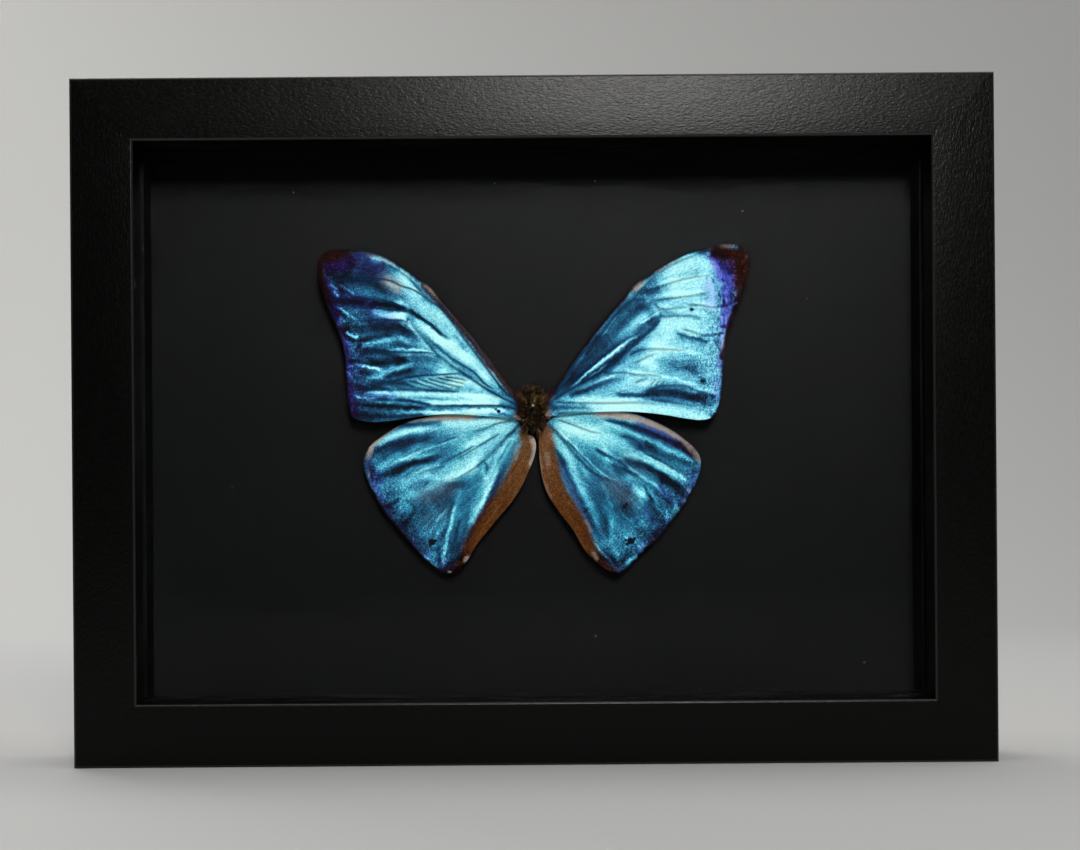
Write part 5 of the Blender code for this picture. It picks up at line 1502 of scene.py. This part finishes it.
def wing_veins(wing, x, z):
    """The wing's veins and the shadows beside them."""
    veins, shadow = np.zeros(x.shape), np.zeros(x.shape)
    for half_width, points in wing["veins"]:
        width = max(half_width * VEIN_GAIN, VEIN_LEAST)
        veins = np.maximum(veins, wing["vein_depth"] * stroke(x, z, points, width, 2.4, 0.12, VEIN_TAPER))
        shadow = np.maximum(shadow, stroke(x, z, points, half_width + SHADOW_REACH, 2.0, 0.18, VEIN_TAPER))
    return veins, shadow


def wing_spots(wing, x, z):
    """Small round spots."""
    spots = np.zeros(x.shape)
    for radius, across, up in wing["spots"]:
        away = np.hypot(x - across, SPOT_SQUASH * (z - up)) / radius
        spots = np.maximum(spots, np.exp(-away ** 4))
    return spots


def wing_colours(wing, x, z, u, leading, trailing):
    """The violet, brown and pale fields, from 0 to 1."""
    colours = {name: field(wing[name], x, z, fade)
               for name, fade in (("violet", 0.0), ("brown", 0.0), ("pale", 0.05))}
    brown = colours["brown"]
    if wing["rim"]:
        brown = np.maximum(brown, stroke(x, z, leading, wing["rim"], 4.0, 0.0) * np.clip(3.2 - 4.5 * u, 0, 1))
    if wing["inner"]:
        brown = np.maximum(brown, inner_field(x, z, trailing, wing["inner"]))
    colours["brown"] = np.maximum(brown, 0.8 * np.exp(-(u / ROOT_REACH) ** 2))
    return colours


def unroll(mesh, u, v):
    """Gives the mesh a UV map that runs from root to margin and from the leading edge back."""
    vane = mesh.uv_layers[0]
    vane.name = "vane"
    corner_points = np.zeros(len(mesh.loops), int)
    mesh.loops.foreach_get("vertex_index", corner_points)
    vane.data.foreach_set("uv", np.column_stack([u, v])[corner_points].astype(np.float32).ravel())


def face_front(mesh):
    """Turns the faces of an active sheet towards -Y if they point away."""
    normals = np.zeros(len(mesh.polygons) * 3)
    mesh.polygons.foreach_get("normal", normals)
    if normals[1::3].mean() > 0:
        bpy.ops.object.mode_set(mode="EDIT")
        bpy.ops.mesh.select_all(action="SELECT")
        bpy.ops.mesh.flip_normals()
        bpy.ops.object.mode_set(mode="OBJECT")


def model_wing(node, wing, settings, rng):
    """One wing: a fine grid laid over the plate's outline, then folded, veined and coloured, with painted
    highlight and shade along its folds.
    """
    clear_choice()
    bpy.ops.mesh.primitive_grid_add(x_subdivisions=settings.rows, y_subdivisions=settings.columns, size=1)
    piece = new_piece("wing_" + node)
    mesh = piece.data
    flat = np.array([vertex.co[:2] for vertex in mesh.vertices])
    u, v = flat[:, 0] + 0.5, flat[:, 1] + 0.5
    corners = [(x * MM, BODY.z + z * MM) for x, z in wing["corners"]]
    sides = four_sides(plate_outline(node), corners)
    notches = NOTCH_DEPTH * abs(wavy_lines(np.zeros(u.shape), v, rng, 12, 0)) * u ** 24
    place = coons(sides, u - notches, v)
    straight = place[:, 0] / MM, (place[:, 1] - BODY.z) / MM
    x, z = (axis + wobble(*straight, rng, 3.0, 0.10) + wobble(*straight, rng, 0.9, 0.05) for axis in straight)
    lines = wavy_lines(u, v, rng, 14, 0.03)

    folds = fold_relief_and_painted_shade(wing, x, z)
    veins, shadow = wing_veins(wing, *straight)
    leading, trailing = (spread(sides[side], 60) / MM - (0, BODY.z / MM) for side in (0, 2))
    colours = wing_colours(wing, x, z, u, leading, trailing)
    edge = np.exp(-((1 - u) / EDGE_REACH) ** 2)
    # Lightness: the wing's tone and dark margins, with painted highlight and painted shade along the folds,
    # painted shadow beside the veins, and the violet, brown, pale and spotted fields
    shine = wing["base_and_painted_light"] + folds + 0.03 * lines - 0.55 * edge - 0.4 * np.exp(-(v / EDGE_REACH) ** 2)
    shine -= wing["violet_depth"] * colours["violet"] + 0.20 * shadow * np.clip(2 * shine, 0, 1)
    for name, light in (("brown", wing["brown_light"] * (1.2 - 0.55 * u)), ("pale", 0.80)):
        shine += colours[name] * (light - wing["base_and_painted_light"] - 0.5 * folds)
    shine -= (1.0 + shine) * wing_spots(wing, *straight)

    relief = settings.fold_height * np.tanh(folds * 1.1) + settings.fold_height * 0.05 * lines
    relief = np.clip(relief, *(limit * MM for limit in wing["reach"])) + settings.vein_height * veins
    low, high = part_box(node)
    y = (low.y + high.y) / 2 + wing["set_back"] * MM - relief
    mesh.vertices.foreach_set("co", np.column_stack([place[:, 0], y, place[:, 1]]).astype(np.float32).ravel())

    store(mesh, shine=shine, vein=np.clip(veins * 1.25, 0, 1), margin=np.exp(-((1 - u) / MARGIN_REACH) ** 2),
          green=np.full(u.shape, wing["green"]), **colours)
    unroll(mesh, u, v)
    mesh.update()
    face_front(mesh)
    apply_modifier(piece, "SOLIDIFY", thickness=settings.thickness, offset=-1.0)
    smooth(piece, 60)
    return piece


class SPECIMEN_OT_wings(bpy.types.Operator):
    """Models the four folded, veined wings"""

    bl_idname = "specimen.wings"
    bl_label = "Wings"

    def execute(self, context):
        settings = context.scene.specimen_wings
        rng = np.random.default_rng(11)
        material = wing_finish(settings, "wing_scales")
        for node, wing in WINGS.items():
            piece = model_wing(node, wing, settings, rng)
            deliver(piece, "wing_scales", material, node)
        return {"FINISHED"}


# ---------------------------------------------------------------- body
HAIR_JOINTS = 4
HAIR_SIDES = 3


def hair_mesh(name, roots, directions, lengths, radii, tones, rng):
    """Tapered, bent hairs as one mesh, each with its own tone."""
    count = len(roots)
    directions = directions / np.linalg.norm(directions, axis=1)[:, None]
    drift = rng.normal(0, 1, (count, 3))
    drift -= (drift * directions).sum(1)[:, None] * directions
    drift /= np.linalg.norm(drift, axis=1)[:, None]
    other = np.cross(directions, drift)
    bend = rng.uniform(0.0, 0.45, count)
    rings = []
    for joint in range(HAIR_JOINTS + 1):
        share = joint / HAIR_JOINTS
        centre = (roots + directions * (lengths * share)[:, None]
                  + drift * (bend * lengths * share ** 2)[:, None])
        thick = radii * (1 - 0.85 * share)
        for side in range(HAIR_SIDES):
            angle = 2 * math.pi * side / HAIR_SIDES
            rings.append(centre + (drift * math.cos(angle) + other * math.sin(angle)) * thick[:, None])
    verts = np.stack(rings, 1).reshape(-1, 3)
    per_hair = (HAIR_JOINTS + 1) * HAIR_SIDES
    faces = []
    for hair in range(count):
        first = hair * per_hair
        for joint in range(HAIR_JOINTS):
            ring = first + joint * HAIR_SIDES
            for side in range(HAIR_SIDES):
                a, b = ring + side, ring + (side + 1) % HAIR_SIDES
                faces.append((a, b, b + HAIR_SIDES, a + HAIR_SIDES))
        faces.append(tuple(first + side for side in reversed(range(HAIR_SIDES))))
        faces.append(tuple(first + HAIR_JOINTS * HAIR_SIDES + side for side in range(HAIR_SIDES)))
    mesh = bpy.data.meshes.new(name)
    mesh.from_pydata(verts.tolist(), [], faces)
    store(mesh, tone=np.repeat(tones, per_hair))
    for polygon in mesh.polygons:
        polygon.use_smooth = True
    piece = bpy.data.objects.new(name, mesh)
    bpy.context.scene.collection.objects.link(piece)
    return piece


def model_core(node, share, rng):
    """The skin under the hair: the CAD solid drawn in, a little rough."""
    low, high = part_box(node)
    centre, radii = (low + high) / 2, (high - low) / 2 * share
    clear_choice()
    bpy.ops.mesh.primitive_uv_sphere_add(segments=40, ring_count=24, radius=1, location=centre, scale=radii)
    core = new_piece(node + "_core")
    places = np.array([vertex.co for vertex in core.data.vertices])
    places += (places - np.array(centre)) * rng.normal(0, 0.03, len(places))[:, None]
    core.data.vertices.foreach_set("co", places.astype(np.float32).ravel())
    store(core.data, tone=np.full(len(places), 0.05))
    smooth(core)
    return core


def tufted(name, roots, directions, lengths, tones, settings, rng):
    """Tufts of hair: one root, direction, length and tone for each tuft."""
    count = settings.tuft_hairs
    roots, directions = np.repeat(roots, count, 0), np.repeat(directions, count, 0)
    roots = roots + rng.normal(0, 0.07 * MM, roots.shape)
    directions = directions + rng.normal(0, 0.10, directions.shape)
    lengths = np.repeat(lengths, count) * rng.uniform(0.6, 1.0, len(roots))
    tones = np.repeat(tones, count) + rng.normal(0, 0.02, len(roots))
    radii = settings.hair_radius * rng.uniform(0.7, 1.3, len(roots))
    return hair_mesh(name, roots, directions, lengths, radii, tones, rng)


def pelt(node, core_share, tufts, sweep, tones, chances, settings, rng):
    """Tufts all over a part, longest where the CAD solid leaves the most room."""
    low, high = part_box(node)
    centre, radii = np.array((low + high) / 2), np.array((high - low) / 2)
    normal = rng.normal(0, 1, (tufts, 3)) - (0, 0.6, 0)
    normal /= np.linalg.norm(normal, axis=1)[:, None]
    roots = centre + normal * radii * core_share * 0.95
    direction = normal * 1.1 + np.array(sweep) * (0.4 + abs(normal)) + rng.normal(0, 0.30, (tufts, 3))
    direction /= np.linalg.norm(direction, axis=1)[:, None]
    at, along = (roots - centre) / radii, direction / radii
    a, b, c = (along ** 2).sum(1), (at * along).sum(1), (at ** 2).sum(1) - 1
    room = (-b + np.sqrt(np.maximum(b * b - a * c, 0))) / a
    return tufted(node + "_hairs", roots, direction, room * rng.uniform(0.8, 1.15, tufts),
                  rng.choice(tones, tufts, p=chances), settings, rng)


# The thorax's skin, in mm: half width, height of its middle, half height
THORAX_REACH, THORAX_RISE, THORAX_TALL = 2.0, -1.3, 3.9
BODY_FRONT = FRONT + 17.0 * MM  # where the fringe at its sides grows

# Tufts over the wing roots and between head and thorax: start and end (across, up from the thorax's
# middle, in mm), tone, and how many tufts
ROOT_TUFTS = (
    ((-2.0, -2.3), (-5.0, -1.3), 0.92, 4), ((-1.9, -1.4), (-4.2, -1.5), 0.74, 4),
    ((-2.0, -1.9), (-3.9, -0.6), 0.60, 3), ((2.3, -1.5), (5.0, -0.5), 0.95, 4),
    ((2.2, -0.6), (4.2, -0.3), 0.76, 4), ((2.2, -1.9), (4.0, -1.9), 0.60, 3),
    ((-1.8, 1.2), (-4.6, 4.7), 0.60, 4), ((-2.2, 0.4), (-3.9, 1.9), 0.30, 5),
    ((-1.6, 1.8), (-3.4, 3.9), 0.42, 4), ((1.8, 1.2), (4.8, 5.0), 0.60, 4),
    ((2.2, 0.4), (3.9, 2.0), 0.34, 5), ((1.6, 1.8), (3.5, 4.1), 0.42, 4),
    ((-1.6, 1.3), (-2.0, 3.8), 0.30, 5), ((-0.9, 1.5), (-1.1, 4.1), 0.05, 4),
    ((-0.2, 1.6), (-0.3, 4.0), 0.30, 4), ((0.6, 1.5), (0.8, 4.1), 0.44, 4),
    ((1.4, 1.3), (1.8, 3.8), 0.16, 5), ((-1.2, 1.4), (-1.4, 3.4), 0.46, 3),
    ((-1.2, -4.0), (-1.9, -6.4), 0.44, 4), ((1.0, -4.0), (1.7, -6.6), 0.30, 4),
    ((-0.2, -4.2), (-0.1, -6.0), 0.04, 4),
)
# How hairs are shared out over the fringe's tones
FRINGE_TONES = (0.04, 0.18, 0.30, 0.44, 0.58, 0.72)
FRINGE_SHARES = (0.30, 0.20, 0.18, 0.12, 0.12, 0.08)


def root_tufts(settings, rng):
    """The tufts that lie over the roots of the wings."""
    wing_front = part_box("forewing_left")[0].y - 0.4 * MM
    roots, directions, lengths, tones = [], [], [], []
    for start, end, tone, count in ROOT_TUFTS:
        for _ in range(count):
            root = Vector((start[0] * MM, wing_front, BODY.z + start[1] * MM))
            run = Vector(((end[0] - start[0]) * MM, -0.25 * MM, (end[1] - start[1]) * MM))
            roots.append(root + Vector(rng.normal(0, 0.16 * MM, 3)))
            directions.append(run.normalized() + Vector(rng.normal(0, 0.15, 3)))
            lengths.append(run.length * rng.uniform(0.75, 1.0))
            tones.append(tone)
    for _ in range(settings.fringe_tufts):
        side, rise = rng.choice((-1, 1)), rng.uniform(-4.4, 2.4)
        reach = THORAX_REACH * math.sqrt(1 - ((rise - THORAX_RISE) / THORAX_TALL) ** 2)
        forward = BODY_FRONT + rng.uniform(-1.2, 0.8) * MM
        roots.append(Vector((side * reach * MM, forward, BODY.z + rise * MM)))
        directions.append(Vector((side * rng.uniform(0.5, 1.2), rng.uniform(-0.5, 0.1),
                                  rng.uniform(-0.7, 0.45) + 0.28 * (rise - THORAX_RISE))))
        lengths.append(rng.uniform(0.9, 1.9) * MM)
        tones.append(rng.choice(FRINGE_TONES, p=FRINGE_SHARES))
    return tufted("root_hairs", np.array(roots), np.array(directions), np.array(lengths), np.array(tones),
                  settings, rng)


def model_eyes():
    """Two dark red bead eyes at the sides of the head."""
    low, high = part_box("head")
    eyes = []
    for side in (-1, 1):
        clear_choice()
        place = (side * (high.x - low.x) * 0.27, low.y + 0.62 * MM, (low.z + high.z) / 2 - 0.2 * MM)
        bpy.ops.mesh.primitive_uv_sphere_add(segments=24, ring_count=14, radius=0.45 * MM, location=place,
                                             scale=(1, 0.9, 1.2))
        eye = new_piece("eye")
        store(eye.data, tone=np.full(len(eye.data.vertices), 0.06))
        smooth(eye)
        eyes.append(eye)
    return eyes


class SPECIMEN_OT_body(bpy.types.Operator):
    """Models the hairy thorax and head"""

    bl_idname = "specimen.body"
    bl_label = "Body"

    def execute(self, context):
        settings = context.scene.specimen_body
        rng = np.random.default_rng(5)
        material = hair_finish(settings, "insect_hair")
        thorax = join_pieces([
            model_core("thorax", 0.80, rng),
            pelt("thorax", 0.78, settings.thorax_tufts, (0.1, -0.25, -0.25), (0.02, 0.20, 0.32, 0.45, 0.74),
                 (0.46, 0.14, 0.18, 0.14, 0.08), settings, rng),
            root_tufts(settings, rng)], "hairy_thorax")
        head = join_pieces([
            model_core("head", 0.72, rng), *model_eyes(),
            pelt("head", 0.66, settings.head_tufts, (0.0, -0.25, 0.85), (0.02, 0.22, 0.34, 0.46, 0.72),
                 (0.36, 0.20, 0.18, 0.18, 0.08), settings, rng)], "hairy_head")
        deliver(thorax, "insect_hair", material, "thorax")
        deliver(head, "insect_hair", material, "head")
        return {"FINISHED"}


# ---------------------------------------------------------------- pin
class SPECIMEN_OT_pin(bpy.types.Operator):
    """Finishes the steel pin"""

    bl_idname = "specimen.pin"
    bl_label = "Pin"

    def execute(self, context):
        dress_node("specimen_pin", metal_finish("pin_steel", PIN_STEEL, 0.22, "y"))
        return {"FINISHED"}


# ---------------------------------------------------------------- stage
FLOOR_SIZE = 3.0
FLOOR_FORWARD = 0.3  # of the floor's middle, in front of the frame
FLOOR_CURVE = 0.5  # radius where the floor rises into the wall
KEY_DISTANCE = 1.15
KEY_ASIDE = 0.085  # of that distance
KEY_SIZE = (0.20, 0.30)
KEY_COLOUR = (1.0, 0.985, 0.96)
# The softer lights: name, place, what it faces, size, power in watts
SOFT_LIGHTS = (
    ("top_light", (0.1, 0.05, 1.3), (0, 0.1, 0), (1.1, 0.9), 9.0),
    ("back_light", (-0.5, 1.0, 0.7), (0, 0, 0.07), (0.8, 0.6), 5.0),
)
SKY_COLOUR = (0.9, 0.95, 1.0, 1)
SKY_STRENGTH = 0.06
SENSOR_WIDTH = 36
VIEW_SHIFT = (1 / 24, 41 / 360)  # to the right and up, as shares of the view's width


def add_light(name, place, target, size, power, colour=(1, 1, 1)):
    clear_choice()
    bpy.ops.object.light_add(type="AREA", location=place)
    lamp = bpy.context.object
    lamp.name = name
    lamp.data.shape = "RECTANGLE"
    lamp.data.size, lamp.data.size_y = size
    lamp.data.energy = power
    lamp.data.color = colour
    lamp.rotation_euler = (Vector(target) - Vector(place)).to_track_quat("-Z", "Y").to_euler()


class SPECIMEN_OT_stage(bpy.types.Operator):
    """Sets up the floor, the lights and the camera"""

    bl_idname = "specimen.stage"
    bl_label = "Stage"

    def execute(self, context):
        settings = context.scene.specimen_stage
        clear_choice()
        bpy.ops.mesh.primitive_plane_add(size=FLOOR_SIZE, location=(0, -FLOOR_FORWARD, 0))
        floor = new_piece("floor")
        back = FLOOR_SIZE / 2 - FLOOR_FORWARD
        bpy.ops.object.mode_set(mode="EDIT")
        choose(floor, "EDGE", lambda edge: on_line(edge, y=back))
        bpy.ops.mesh.extrude_region_move(TRANSFORM_OT_translate={"value": (0, 0, FLOOR_SIZE / 2)})
        bevel_edges(floor, lambda edge: on_line(edge, y=back, z=0), FLOOR_CURVE, 16)
        bpy.ops.object.mode_set(mode="OBJECT")
        smooth(floor, 60)
        floor.data.materials.append(stage_finish(settings, "studio_floor"))

        target = Vector((0, FRONT, MIDDLE))
        rise = settings.key_rise
        key = target + KEY_DISTANCE * Vector((KEY_ASIDE, -math.cos(rise), math.sin(rise)))
        add_light("main_light", key, target, KEY_SIZE, settings.key_power, KEY_COLOUR)
        for light in SOFT_LIGHTS:
            add_light(*light)

        world = bpy.data.worlds.new("studio")
        world.use_nodes = True
        sky = world.node_tree.nodes["Background"].inputs
        sky["Color"].default_value = SKY_COLOUR
        sky["Strength"].default_value = SKY_STRENGTH
        context.scene.world = world
        context.scene.view_settings.view_transform = "Standard"

        bpy.ops.object.camera_add(location=(settings.camera_x, FRONT - settings.distance, settings.camera_z),
                                  rotation=(math.pi / 2, settings.roll, 0))
        camera = context.object
        camera.data.lens = settings.lens
        camera.data.sensor_width = SENSOR_WIDTH
        camera.data.shift_x, camera.data.shift_y = VIEW_SHIFT
        camera.data.clip_start = 0.01
        context.scene.camera = camera
        return {"FINISHED"}


# ---------------------------------------------------------------- panel
OPERATORS = (
    SPECIMEN_OT_stage, SPECIMEN_OT_moulding, SPECIMEN_OT_glass, SPECIMEN_OT_boards, SPECIMEN_OT_hardware,
    SPECIMEN_OT_wings, SPECIMEN_OT_body, SPECIMEN_OT_pin,
)
SETTINGS = {
    "specimen_frame": FrameSettings, "specimen_wings": WingSettings,
    "specimen_body": BodySettings, "specimen_stage": StageSettings,
}


class SPECIMEN_PT_tools(bpy.types.Panel):
    """Buttons for each piece, in the order in which they are made"""

    bl_idname = "SPECIMEN_PT_tools"
    bl_label = "Framed Butterfly"
    bl_space_type = "VIEW_3D"
    bl_region_type = "UI"
    bl_category = "Butterfly"

    def draw(self, context):
        for operator in OPERATORS:
            self.layout.operator(operator.bl_idname)
        for group, kind in SETTINGS.items():
            box = self.layout.box()
            for name in kind.__annotations__:
                box.prop(getattr(context.scene, group), name)


def register():
    for cls in (*SETTINGS.values(), *OPERATORS, SPECIMEN_PT_tools):
        bpy.utils.register_class(cls)
    for name, group in SETTINGS.items():
        setattr(bpy.types.Scene, name, PointerProperty(type=group))


def unregister():
    for name in SETTINGS:
        delattr(bpy.types.Scene, name)
    for cls in reversed((*SETTINGS.values(), *OPERATORS, SPECIMEN_PT_tools)):
        bpy.utils.unregister_class(cls)


def main():
    register()
    for operator in OPERATORS:
        group, name = operator.bl_idname.split(".")
        getattr(getattr(bpy.ops, group), name)()


if __name__ == "__main__":
    main()
